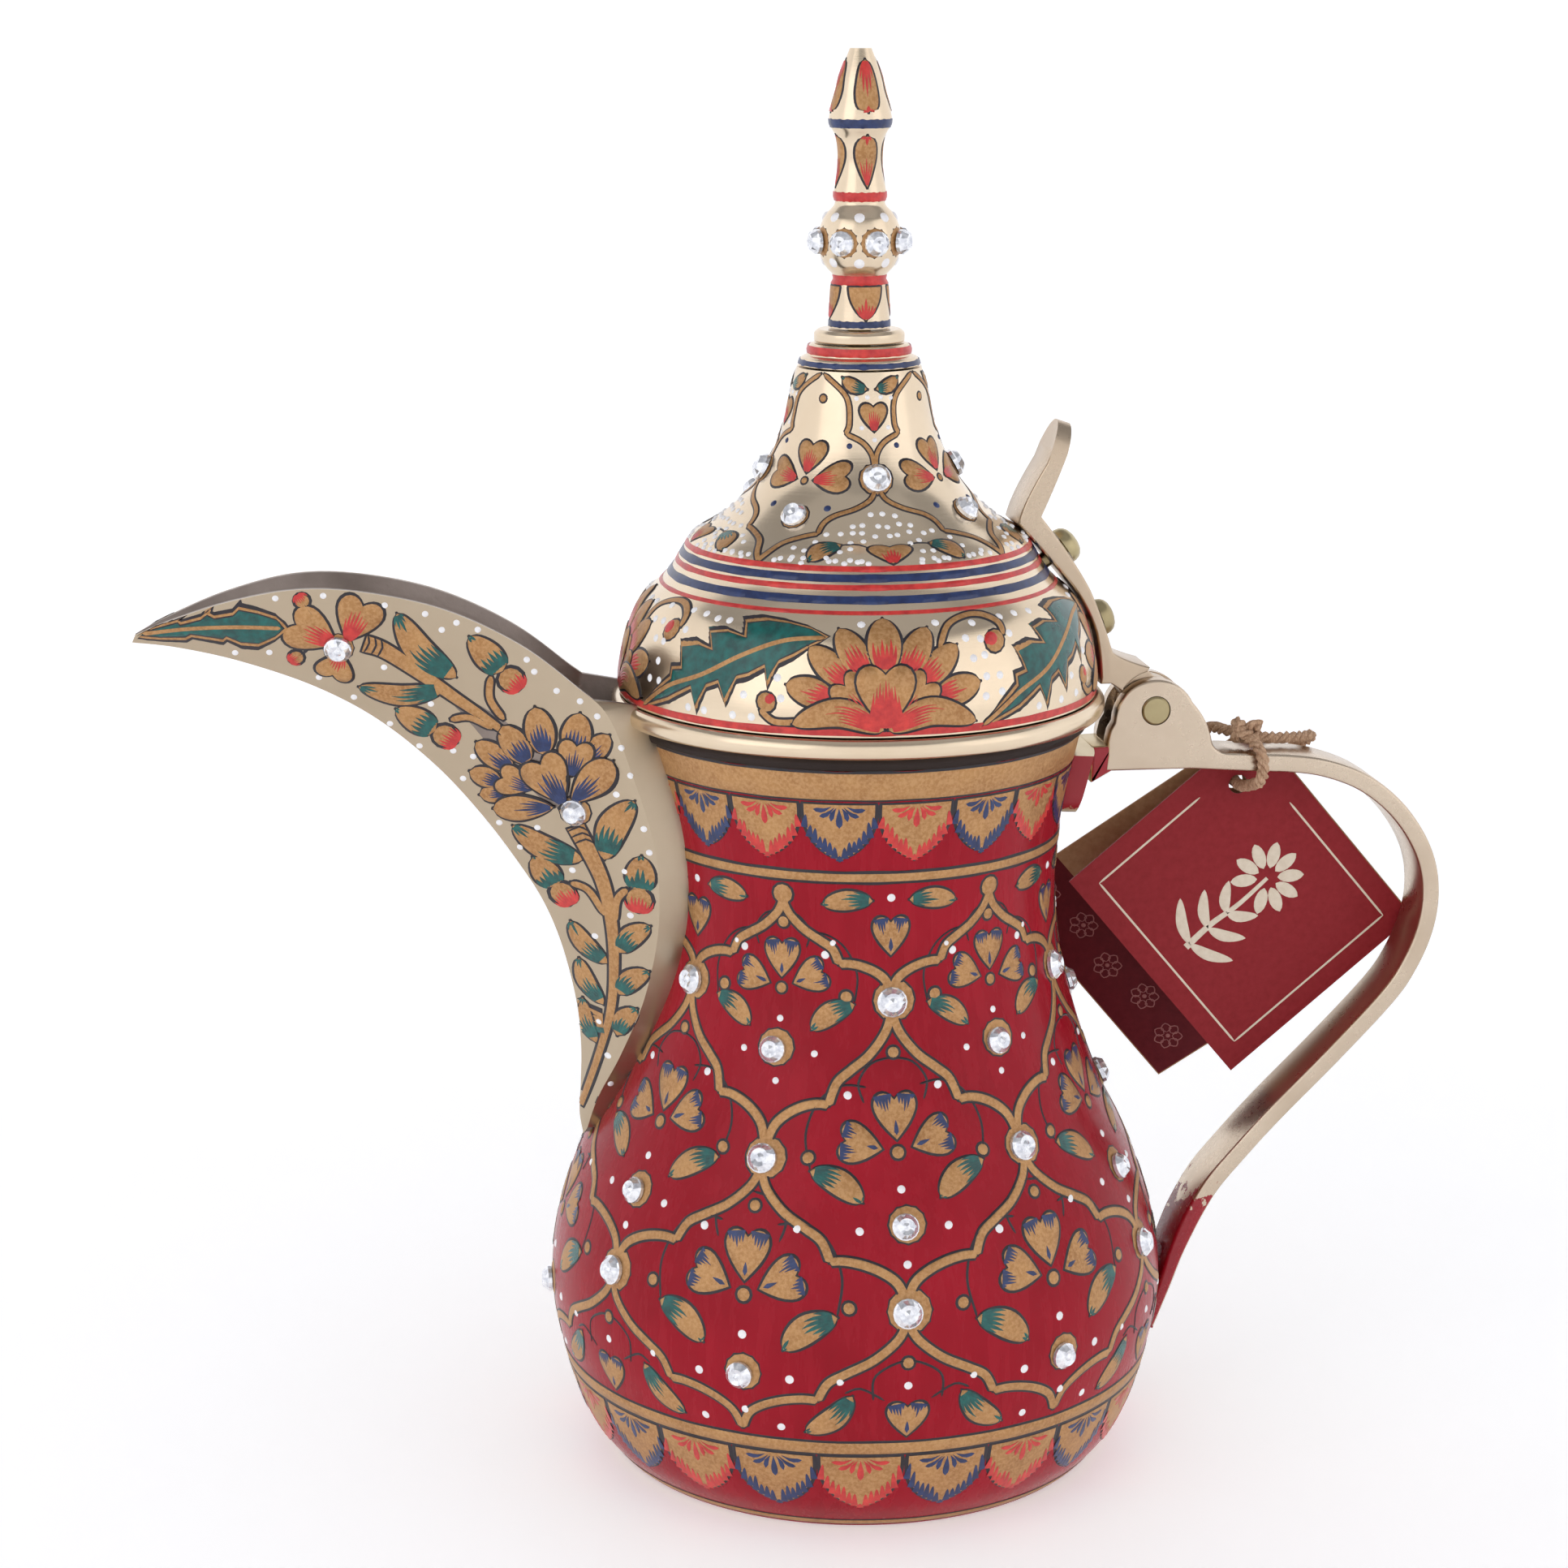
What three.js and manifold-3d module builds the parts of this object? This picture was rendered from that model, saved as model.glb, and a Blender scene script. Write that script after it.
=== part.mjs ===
// A dallah coffee pot: pear-shaped brass pot, crescent spout, strap handle and hinged
// domed lid with a turned finial.
// Units are millimetres. The origin is the centre of the base, +Z is up, the spout points to -X
// and the handle to +X, so the pot's middle plane is XZ.
import * as THREE from 'three';
import { mergeVertices } from 'three/addons/utils/BufferGeometryUtils.js';
import Module from 'manifold-3d';

const wasm = await Module();
wasm.setup();

// ---- driving dimensions ----
const GAP = 0.3;                 // clearance between touching pieces
const WALL = 1.4;                // spun brass sheet
const ROUND = 32;                // segments round the pot and lid
const SMALL_ROUND = 16;          // segments round pins, rivets and the finial

const BASE_RADIUS = 49.3;
const LIP_RADIUS = 44;           // inside of the shell's turned-in foot lip
const BODY_TOP = 149.2;
const MOUTH_RADIUS = 42.8;
const RIM_RADIUS = 48.8;         // the polished band at the lid's edge
const COLLAR_RADIUS = 41.4;      // locating collar under the lid, loose in the mouth
const RIM_BOTTOM = 152.2;
const RIM_TOP = 156;
const LID_TOP = 219.8;
const TOTAL_HEIGHT = 280;

const STRAP_WIDTH = 12.6;
const STRAP_THICKNESS = 3.6;
const PIN_X = 59.2;
const PIN_Z = 150.9;
const PIN_RADIUS = 2.85;
const EAR_INNER = 3.1;           // half the gap between the hinge ears
const KNUCKLE_HALF = 2.7;

const STONE_RADIUS = 2.9;
const STONE_HEIGHT = 2;
const PAINT_PAD = 0.3;           // painted roundel under each stone

// ---- outlines of the turned pieces: [radius, height], from the bottom up ----
const BODY_OUTLINE = [
  [BASE_RADIUS, 0], [54.4, 6], [57.4, 12.5], [59.9, 21], [61.8, 30.5], [62, 39], [60.2, 49.5],
  [55.6, 62.8], [49.3, 76], [44.3, 90], [40.8, 104], [39.6, 116], [40.1, 126.4], [41.2, 135.5],
  [43.1, 144.4], [44.2, BODY_TOP],
];
const LID_OUTLINE = [
  [47, RIM_TOP + GAP], [46.9, 160], [46.3, 164], [45.4, 168], [43.9, 172], [41.9, 175.3],
  [38.7, 178.2], [36.4, 181], [34.6, 184], [32.3, 187.2], [27.2, 190.4], [23.1, 194], [19.7, 198],
  [16.5, 204], [14.4, 210], [13.2, 216], [12.1, LID_TOP],
];
const SPINDLE_OUTLINE = [
  [5.95, 227.3], [5.75, 231], [5.5, 235.6], [5, 237], [7, 239.6], [8.1, 243.8], [7, 248.2],
  [4.9, 250.8], [5.1, 252.8], [4.3, 257], [4.2, 260.2], [4.6, 263.2], [6.05, 266.7],
  [4.7, 272.3], [3.9, 275.3], [2.1, TOTAL_HEIGHT],
];

// Spout stations from the tip to the tail: keel, cheek edge and channel floor.
// Each is [keel x, keel z, edge x, edge half-width, edge z, floor depth below the edge].
const SPOUT_STATIONS = [
  [-140.8, 169.1, -140.1, 0.7, 170.7, 0.4],
  [-132.4, 167.9, -133.8, 3.6, 173.6, 3],
  [-120.6, 164.9, -122.6, 7, 177.6, 8.5],
  [-106.6, 159.6, -109.4, 9.8, 180.2, 16.5],
  [-94.6, 152.7, -96.4, 11, 179.5, 23.5],
  [-83.4, 143, -81.6, 11.6, 175.9, 30.5],
  [-74.2, 132.2, -67.6, 12.3, 169, 36],
  [-66.8, 121.5, -56.8, 13.4, 160.6, 38.5],
  [-62.9, 114.8, -50.9, 15, 154.9, 38.5],
  [-60.1, 108, -46.4, 17.4, 143, 33.5],
  [-58, 100.6, -42.6, 18.6, 129.5, 28],
  [-56.4, 92.4, -41.8, 17.8, 114.5, 21.5],
  [-55.8, 84.2, -44.2, 15, 99.3, 15],
  [-56, 76.6, -48.6, 10.6, 86.1, 9.5],
  [-56.3, 70.6, -52.9, 5.4, 75.5, 5],
  [-55.6, 66, -54.9, 1.6, 67.7, 1.6],
];
const RIM_STATION = 8;           // from here down the cheeks turn in to the pot's wall
const SPOUT_WALL = 1.7;

// ---- materials ----
const finish = (color, roughness, metalness) =>
  new THREE.MeshStandardMaterial({ color, roughness, metalness });
const RED_LACQUER = finish(0xa5192a, 0.25, 0.1);
const POLISHED_BRASS = finish(0xe0cc9c, 0.18, 1);
const CAST_BRASS = finish(0xc8b48c, 0.3, 1);
const TURNED_BRASS = finish(0xb8a070, 0.4, 1);
const CRYSTAL = finish(0xe6ebf0, 0.05, 0.2);
const JUTE = finish(0xb98c6e, 0.9, 0);
const CARD = finish(0x8c1e23, 0.5, 0);

const pot = new THREE.Group();

// ---- helpers ----

// A closed triangle mesh as a solid for joining and cutting.
function solid(geometry) {
  const bare = geometry.index ? geometry.clone() : geometry;
  bare.deleteAttribute('normal');
  bare.deleteAttribute('uv');
  const merged = mergeVertices(bare, 1e-4);
  const points = merged.attributes.position.array;
  const corners = [];
  let volume = 0;
  const a = new THREE.Vector3(), b = new THREE.Vector3(), c = new THREE.Vector3();
  for (let i = 0; i < merged.index.count; i += 3) {
    const [p, q, r] = [0, 1, 2].map((k) => merged.index.getX(i + k));
    if (p === q || q === r || r === p) continue;
    corners.push([p, q, r]);
    a.fromArray(points, 3 * p);
    b.fromArray(points, 3 * q);
    c.fromArray(points, 3 * r);
    volume += a.dot(b.cross(c));
  }
  const order = volume > 0 ? corners : corners.map(([p, q, r]) => [p, r, q]);
  return new wasm.Manifold(new wasm.Mesh({
    numProp: 3,
    vertProperties: Float32Array.from(points),
    triVerts: Uint32Array.from(order.flat()),
  }));
}

function add(name, shape, material) {
  const mesh = shape.getMesh();
  const geometry = new THREE.BufferGeometry();
  geometry.setAttribute('position', new THREE.BufferAttribute(Float32Array.from(mesh.vertProperties), 3));
  geometry.setIndex(new THREE.BufferAttribute(Uint32Array.from(mesh.triVerts), 1));
  geometry.computeVertexNormals();
  const node = new THREE.Mesh(geometry, material);
  node.name = name;
  pot.add(node);
  return node;
}

// A profile of [radius, height] points turned round the Z axis; the profile is closed.
function turned(profile, segments = ROUND) {
  const loop = profile.map(([r, z]) => new THREE.Vector2(r, z));
  loop.push(loop[0].clone());
  return solid(new THREE.LatheGeometry(loop, segments).rotateX(Math.PI / 2));
}

// A smooth run of points through an outline.
function smooth(outline, steps) {
  const curve = new THREE.SplineCurve(outline.map(([r, z]) => new THREE.Vector2(r, z)));
  return curve.getPoints(steps).map((p) => [p.x, p.y]);
}

// The same run of points moved inwards, square to the outline, by a distance.
function inset(points, distance) {
  return points.map((point, i) => {
    const before = points[Math.max(i - 1, 0)];
    const after = points[Math.min(i + 1, points.length - 1)];
    const along = new THREE.Vector2(after[0] - before[0], after[1] - before[1]).normalize();
    return [point[0] - along.y * distance, point[1] + along.x * distance];
  });
}

// A shape drawn in the XZ plane, given a width across Y and centred at y.
function flat(shape, width, y = 0, curveSegments = 12) {
  const options = { depth: width, bevelEnabled: false, curveSegments };
  const geometry = new THREE.ExtrudeGeometry(shape, options);
  return solid(geometry.rotateX(Math.PI / 2).translate(0, width / 2 + y, 0));
}

function outline(points) {
  return new THREE.Shape(points.map(([x, z]) => new THREE.Vector2(x, z)));
}

// A rod along Y.
function crossRod(radius, length, x, z, y = 0, segments = SMALL_ROUND) {
  return solid(new THREE.CylinderGeometry(radius, radius, length, segments).translate(x, y, z));
}

function radiusAt(points, z) {
  const above = points.findIndex((point) => point[1] >= z);
  const [low, high] = [points[Math.max(above - 1, 0)], points[above]];
  const share = high[1] === low[1] ? 0 : (z - low[1]) / (high[1] - low[1]);
  return low[0] + share * (high[0] - low[0]);
}

// ---- pot: shell, base and mouth ring ----
const bodyOuter = smooth(BODY_OUTLINE, 18);
const bodyInner = inset(smooth(BODY_OUTLINE, 13), WALL);
bodyInner[0] = [bodyInner[0][0] - WALL, WALL];
bodyInner[bodyInner.length - 1] = [BODY_OUTLINE.at(-1)[0] - WALL, BODY_TOP];

function makeBodyShell() {
  const profile = [[LIP_RADIUS, 0], ...bodyOuter, ...bodyInner.slice().reverse(), [LIP_RADIUS, WALL]];
  const holeRadius = 2.2;
  let shell = turned(profile);
  for (let row = 0; row < 5; row += 1) {
    const count = row % 2 ? 2 : 3;
    for (let i = 0; i < count; i += 1) {
      const y = (i - (count - 1) / 2) * 6.4;
      const drill = new THREE.CylinderGeometry(holeRadius, holeRadius, 16, 12).rotateZ(Math.PI / 2);
      shell = shell.subtract(solid(drill.translate(-41, y, 97 + row * 6.4)));
    }
  }
  return shell;
}

function makeBasePlate() {
  const radius = LIP_RADIUS - GAP;
  return turned([[0, 0], [radius, 0], [radius, WALL], [20, WALL], [0, WALL + 1.2]]);
}

function makeMouthRing() {
  const bottom = BODY_TOP + GAP;
  const top = RIM_BOTTOM - GAP;
  const middle = (bottom + top) / 2;
  return turned([[MOUTH_RADIUS, bottom], [45.2, bottom], [45.6, middle], [45.2, top], [MOUTH_RADIUS, top]]);
}

add('body_shell', makeBodyShell(), RED_LACQUER);
add('base_plate', makeBasePlate(), TURNED_BRASS);
add('mouth_ring', makeMouthRing(), TURNED_BRASS);

// Everything that stands on the pot's wall is cut back from this solid.
function wallEnvelope(clearance) {
  const side = bodyOuter.map(([r, z]) => [r + clearance, z]);
  const top = RIM_RADIUS + clearance + 0.3;
  const ringLow = 45.6 + clearance;
  return turned([
    [0, -1], ...side, [ringLow, BODY_TOP], [ringLow, RIM_BOTTOM - 0.6], [top, RIM_BOTTOM - 0.6],
    [top, RIM_TOP + 4], [0, RIM_TOP + 4],
  ]);
}
const potWall = wallEnvelope(GAP);

// ---- spout: one casting, lofted through its stations ----
function spoutSection([keelX, keelZ, edgeX, half, edgeZ, depth], index) {
  const turnsIn = index >= RIM_STATION;
  const bulge = 0.045;
  const keel = new THREE.Vector3(keelX, 0, keelZ);
  const edge = new THREE.Vector3(edgeX, half, edgeZ);
  const rise = new THREE.Vector3(edgeX - keelX, 0, edgeZ - keelZ);
  const side = edge.clone().sub(keel);
  const normal = new THREE.Vector3().crossVectors(side, new THREE.Vector3(0, 1, 0)).normalize();
  const outward = new THREE.Vector3().crossVectors(side, normal).normalize();
  if (outward.y < 0) outward.negate();
  const cheek = (share) => keel.clone().addScaledVector(side, share)
    .addScaledVector(outward, 4 * bulge * share * (1 - share) * side.length());
  const floor = edge.clone().addScaledVector(rise.clone().normalize(), -depth).setY(0);
  const wall = Math.min(SPOUT_WALL, half * 0.45);
  const lip = turnsIn
    ? new THREE.Vector3(edgeX + 12, half * 0.84, edgeZ)
    : edge.clone().setY(half - wall * 0.4);
  const inner = turnsIn
    ? new THREE.Vector3(edgeX + 12, half * 0.84 - wall, edgeZ)
    : edge.clone().setY(half - wall);
  const innerMiddle = floor.clone().lerp(inner, 0.5)
    .addScaledVector(outward, 2 * bulge * side.length() * (depth / rise.length()));
  const right = [cheek(1 / 3), cheek(2 / 3), edge, lip, inner, innerMiddle];
  const left = right.map((p) => p.clone().setY(-p.y)).reverse();
  return [keel, ...right, floor, ...left];
}

// Closed rings of points joined in order and capped at both ends.
function loft(rings) {
  const count = rings[0].length;
  const points = rings.flat();
  const index = [];
  for (let ring = 0; ring < rings.length - 1; ring += 1) {
    for (let i = 0; i < count; i += 1) {
      const a = ring * count + i;
      const b = ring * count + ((i + 1) % count);
      index.push(a, b, b + count, a, b + count, a + count);
    }
  }
  // Each ring is symmetric about the XZ plane, so its caps are strips between matching points.
  const cap = (start, flip) => {
    for (let i = 0; i < count / 2; i += 1) {
      const quad = [i, i + 1, 2 * count - i - 1, count - i].map((k) => start + (k % count));
      const [p, q, r, s] = flip ? quad.reverse() : quad;
      index.push(p, q, r, p, r, s);
    }
  };
  cap(0, true);
  cap((rings.length - 1) * count, false);
  const geometry = new THREE.BufferGeometry().setFromPoints(points);
  geometry.setIndex(index);
  return solid(geometry);
}

// The stations are close enough near the body, and are doubled by interpolation elsewhere.
function makeSpout() {
  const columns = SPOUT_STATIONS[0].map((_, k) => SPOUT_STATIONS.map((station) => station[k]));
  const through = (values, t) => THREE.MathUtils.lerp(values[Math.floor(t)], values[Math.ceil(t)], t % 1);
  const eased = (values, t) => {
    if (t % 1 === 0) return values[t];
    const i = Math.floor(t);
    const before = values[Math.max(i - 1, 0)];
    const after = values[Math.min(i + 2, values.length - 1)];
    return through(values, t) * 1.125 - (before + after) * 0.0625;
  };
  const rings = [];
  for (let t = 0; t <= SPOUT_STATIONS.length - 1; t += 0.5) {
    rings.push(spoutSection(columns.map((values) => eased(values, t)), t));
  }
  return loft(rings).subtract(potWall);
}
add('spout', makeSpout(), POLISHED_BRASS);

// ---- handle: strap, hinge ears and saddle foot in one casting ----
const STRAP_CENTRE = [
  [66, 140.6], [79.4, 139.6], [88.1, 139], [95.2, 137.7], [102.6, 134.7], [109, 129.8],
  [113.9, 123.6], [116.9, 117], [117.8, 110], [116.8, 103], [114, 96], [109.7, 89.4], [99.1, 77.9],
  [86.3, 64.9], [78.8, 56.6], [73.5, 50.2], [69.6, 43.4], [66.5, 36.2], [64.2, 29.2], [60.8, 19.8],
];
const STRAP_SAMPLES = 56;
const TAIL_SAMPLES = 20;         // the strap thins over its last samples

function strapShape(thickness) {
  const samples = smooth(STRAP_CENTRE, STRAP_SAMPLES);
  const side = (sign) => samples.map((point, i) => {
    const taper = Math.min(1, 0.6 + (STRAP_SAMPLES - i) / TAIL_SAMPLES);
    const near = [samples[Math.max(i - 1, 0)], point, samples[Math.min(i + 1, STRAP_SAMPLES)]];
    return inset(near, sign * taper * thickness / 2)[1];
  });
  return outline([...side(1), ...side(-1).reverse()]);
}

function earShape() {
  const ear = new THREE.Shape();
  const archRadius = 8.4;
  ear.moveTo(49.4, 138.8);
  ear.lineTo(49.4, 145);
  ear.lineTo(PIN_X - archRadius, PIN_Z - 2.2);
  ear.absarc(PIN_X, PIN_Z - 2.2, archRadius, Math.PI, Math.PI * 0.14, true);
  ear.quadraticCurveTo(70.2, 148.6, 71, 143.9);
  ear.quadraticCurveTo(71.6, 141.9, 75, 141.6);
  ear.lineTo(75, 138.1);
  return ear;
}

function makeHandle() {
  const strap = flat(strapShape(STRAP_THICKNESS), STRAP_WIDTH);
  const ears = flat(earShape(), STRAP_WIDTH);
  const slotFloor = PIN_Z - 6.7;
  const slot = solid(new THREE.BoxGeometry(26, 2 * EAR_INNER, 20).translate(59, 0, slotFloor + 10));
  const bridgeOutline = outline([[41, 136], [46, 136], [50.6, 138.9], [50.6, 144.2], [41, 144.2]]);
  const bridge = flat(bridgeOutline, STRAP_WIDTH);
  const saddle = turned([[36, 131.6], [43.4, 131.6], [45, 135.5], [47, 143.8], [36, 143.8]]);
  const saddleHalf = 14;
  const corner = 5;
  const saddleFace = new THREE.Shape();
  saddleFace.moveTo(-saddleHalf, 147);
  saddleFace.lineTo(-saddleHalf, 131.5 + corner);
  saddleFace.absarc(corner - saddleHalf, 131.5 + corner, corner, Math.PI, Math.PI * 1.5, false);
  saddleFace.absarc(saddleHalf - corner, 131.5 + corner, corner, Math.PI * 1.5, Math.PI * 2, false);
  saddleFace.lineTo(saddleHalf, 147);
  const options = { depth: 20, bevelEnabled: false, curveSegments: 5 };
  const saddleCut = new THREE.ExtrudeGeometry(saddleFace, options)
    .rotateX(Math.PI / 2).rotateZ(Math.PI / 2).translate(35, 0, 0);
  const pinHole = crossRod(PIN_RADIUS + GAP, STRAP_WIDTH + 2, PIN_X, PIN_Z);
  return strap.add(ears.subtract(slot)).add(bridge).add(saddle.intersect(solid(saddleCut)))
    .subtract(pinHole).subtract(potWall);
}
add('handle', makeHandle(), CAST_BRASS);
add('hinge_pin', crossRod(PIN_RADIUS, STRAP_WIDTH + 0.6, PIN_X, PIN_Z), TURNED_BRASS);

// ---- lid: dome, edge band, locating collar and top ring ----
const lidOuter = smooth(LID_OUTLINE, 22);
const lidInner = inset(smooth(LID_OUTLINE, 14), WALL);
lidInner[0] = [LID_OUTLINE[0][0] - WALL, LID_OUTLINE[0][1]];
lidInner[lidInner.length - 1] = [LID_OUTLINE.at(-1)[0] - WALL, LID_TOP];
const RIVETS = [{ name: 'upper', z: 182.2, x: 39.4 }, { name: 'lower', z: 168.2, x: 46.7 }];
const RIVET_SHANK = 1.6;

// A piece turned on +Z and laid square to the lid arm at a rivet.
function atRivet(profile, { x, z }, slope) {
  const shape = turned(profile, 14);
  return shape.rotate([0, THREE.MathUtils.radToDeg(slope), 0]).translate([x, 0, z]);
}
const rivetSlope = ({ name }) => THREE.MathUtils.degToRad(name === 'upper' ? 55 : 70);

function makeLidDome() {
  let dome = turned([...lidOuter, ...lidInner.slice().reverse()]);
  for (const rivet of RIVETS) {
    const clearance = [[0, -20], [RIVET_SHANK + GAP, -20], [RIVET_SHANK + GAP, 4], [0, 4]];
    dome = dome.subtract(atRivet(clearance, rivet, rivetSlope(rivet)));
  }
  return dome;
}

function makeRimRing() {
  const inner = COLLAR_RADIUS + GAP;
  return turned([
    [inner, RIM_BOTTOM], [RIM_RADIUS - 0.7, RIM_BOTTOM], [RIM_RADIUS, RIM_BOTTOM + 0.9],
    [RIM_RADIUS, RIM_TOP - 1.2], [RIM_RADIUS - 1, RIM_TOP], [inner, RIM_TOP],
  ]);
}

function makeLocatingCollar() {
  const outer = COLLAR_RADIUS;
  const wall = 1.3;
  return turned([[outer - wall, 146.2], [outer - 0.9, 146.2], [outer, 148], [outer, RIM_TOP - 0.4],
    [outer - wall, RIM_TOP - 0.4]]);
}

function makeTopRing() {
  const bottom = LID_TOP + GAP;
  return turned([
    [3.3, bottom], [11.9, bottom], [11.3, 221.6], [10.1, 222.1], [10.1, 223.6], [9.2, 224.3], [3.3, 224.3],
  ], SMALL_ROUND);
}

add('lid_dome', makeLidDome(), POLISHED_BRASS);
add('lid_rim_ring', makeRimRing(), POLISHED_BRASS);
add('lid_locating_collar', makeLocatingCollar(), TURNED_BRASS);
add('lid_top_ring', makeTopRing(), POLISHED_BRASS);

// ---- lid arm: bent strap, thumb plate and hinge knuckle ----
function armShape() {
  const reach = 8.1;             // clearance circle round the hinge ears
  const arm = new THREE.Shape();
  arm.moveTo(39.4, 209);
  arm.lineTo(41.9, 208);
  arm.quadraticCurveTo(41, 203, 35.3, 190.3);
  arm.quadraticCurveTo(42.2, 181.6, 45.5, 175.4);
  arm.quadraticCurveTo(48.2, 169.4, 50.2, 162.9);
  arm.quadraticCurveTo(52.6, 161.2, PIN_X - 1.4, PIN_Z + reach + 0.7);
  arm.lineTo(PIN_X - 1.9, PIN_Z + reach - 0.2);
  arm.absarc(PIN_X, PIN_Z, reach, Math.PI * 0.575, Math.PI * 0.83, false);
  arm.lineTo(50, 156.5);
  arm.lineTo(47.8, 156.5);
  arm.quadraticCurveTo(47.6, 162, 46.4, 167);
  arm.quadraticCurveTo(44.4, 172.8, 40.5, 177.4);
  arm.quadraticCurveTo(37, 181.8, 30, 189);
  arm.quadraticCurveTo(31.4, 193, 36.2, 200.8);
  return arm;
}

function makeLidArm() {
  let arm = flat(armShape(), STRAP_WIDTH, 0, 6);
  const plateTilt = THREE.MathUtils.degToRad(19);
  const half = STRAP_WIDTH / 2;
  const tomb = new THREE.Shape();
  tomb.moveTo(-half, -60);
  tomb.lineTo(half, -60);
  tomb.lineTo(half, 11.5);
  tomb.absellipse(0, 11.5, half, 9.2, 0, Math.PI, false);
  const options = { depth: 120, bevelEnabled: false, curveSegments: 10 };
  const tombSolid = new THREE.ExtrudeGeometry(tomb, options)
    .rotateX(Math.PI / 2).rotateZ(Math.PI / 2).translate(-60, 0, 0)
    .rotateY(plateTilt).translate(31.6, 0, 189.5);
  arm = arm.intersect(solid(tombSolid));
  const knuckleRadius = 6.2;
  const knuckle = crossRod(knuckleRadius, 2 * KNUCKLE_HALF, PIN_X, PIN_Z);
  const link = flat(outline([[50.6, 157.4], [54.6, 150.4], [60.6, 156.4], [57.4, 159.4]]), 2 * KNUCKLE_HALF);
  const hole = crossRod(PIN_RADIUS + GAP, 2 * KNUCKLE_HALF + 2, PIN_X, PIN_Z);
  const lidClearance = turned([
    [0, 150], [RIM_RADIUS + GAP, 150], [RIM_RADIUS + GAP, RIM_TOP + GAP],
    ...lidOuter.slice(1).map(([r, z]) => [r + GAP + 0.1, z]), [0, LID_TOP],
  ], 2 * ROUND);
  arm = arm.add(knuckle).add(link).subtract(hole).subtract(lidClearance);
  for (const rivet of RIVETS) {
    const clearance = [[0, -20], [RIVET_SHANK + GAP, -20], [RIVET_SHANK + GAP, 9], [0, 9]];
    arm = arm.subtract(atRivet(clearance, rivet, rivetSlope(rivet)));
  }
  return arm;
}
add('lid_arm', makeLidArm(), CAST_BRASS);

// Dome-headed rivets through the arm and the lid, and the washers they are closed over.
const HEAD_SEAT = 2.1;
for (const rivet of RIVETS) {
  const inside = rivet.name === 'upper' ? 8.6 : 5.2;
  const head = [
    [0, -inside - 1.2], [RIVET_SHANK, -inside - 1.2], [RIVET_SHANK, HEAD_SEAT], [3.7, HEAD_SEAT],
    [3.4, HEAD_SEAT + 1.2], [2.3, HEAD_SEAT + 2.3], [0, HEAD_SEAT + 2.9],
  ];
  const washer = [
    [RIVET_SHANK + GAP, -inside - 1], [3.4, -inside - 1], [3.4, -inside], [RIVET_SHANK + GAP, -inside],
  ];
  add(`lid_rivet_${rivet.name}`, atRivet(head, rivet, rivetSlope(rivet)), POLISHED_BRASS);
  add(`rivet_washer_${rivet.name}`, atRivet(washer, rivet, rivetSlope(rivet)), TURNED_BRASS);
}

// ---- finial ----
const STUD_RADIUS = 2.2;
const COLLAR_BOTTOM = 224.3 + GAP;
const COLLAR_TOP = 227;
const SPINDLE_STEPS = 24;

function makeFinialCollar() {
  return turned([
    [STUD_RADIUS + GAP, COLLAR_BOTTOM], [8.8, COLLAR_BOTTOM], [8.8, 226.3], [8, COLLAR_TOP],
    [STUD_RADIUS + GAP, COLLAR_TOP],
  ], SMALL_ROUND);
}

function makeSpindle() {
  const side = smooth(SPINDLE_OUTLINE, SPINDLE_STEPS);
  const bore = STUD_RADIUS + GAP;
  const socket = [[0, TOTAL_HEIGHT], [0, 234], [bore, 234], [bore, COLLAR_TOP + GAP]];
  return turned([...side, ...socket], SMALL_ROUND);
}

add('finial_collar', makeFinialCollar(), POLISHED_BRASS);
add('finial_spindle', makeSpindle(), POLISHED_BRASS);
const studOutline = [[0, 214], [STUD_RADIUS, 214], [STUD_RADIUS, 233.6], [0, 233.6]];
add('finial_stud', turned(studOutline, 12), TURNED_BRASS);
const nut = new THREE.CylinderGeometry(5, 5, 2.6, 6).rotateX(Math.PI / 2).translate(0, 0, 218);
const nutBore = new THREE.CylinderGeometry(STUD_RADIUS + GAP, STUD_RADIUS + GAP, 6, 12)
  .rotateX(Math.PI / 2).translate(0, 0, 218);
add('finial_nut', solid(nut).subtract(solid(nutBore)), TURNED_BRASS);

// ---- rhinestones: flat back, facets and table, facing square off the surface ----
function addStone(name, position, outward, radius = STONE_RADIUS) {
  const facets = 8;
  const shape = turned([[0, 0], [radius, 0], [radius * 0.6, STONE_HEIGHT], [0, STONE_HEIGHT]], facets);
  const node = add(name, shape, CRYSTAL);
  node.position.copy(position).addScaledVector(outward, PAINT_PAD + 0.05);
  node.quaternion.setFromUnitVectors(new THREE.Vector3(0, 0, 1), outward);
}

// Stones in a ring on a turned surface; angles are in degrees, 270 faces the front.
function stoneRing(prefix, first, outlinePoints, z, angles, radius) {
  const dz = 2.5;
  const r = radiusAt(outlinePoints, z);
  const slope = (radiusAt(outlinePoints, z + dz) - radiusAt(outlinePoints, z - dz)) / (2 * dz);
  const sag = 1 - Math.cos(Math.PI / ROUND);
  angles.forEach((degrees, i) => {
    const angle = THREE.MathUtils.degToRad(degrees);
    const around = new THREE.Vector3(Math.cos(angle), Math.sin(angle), 0);
    const outward = new THREE.Vector3(around.x, around.y, -slope).normalize();
    const base = around.clone().multiplyScalar(r + sag * radius).setZ(z);
    addStone(`${prefix}_${first + i}`, base, outward, radius);
  });
}

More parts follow.
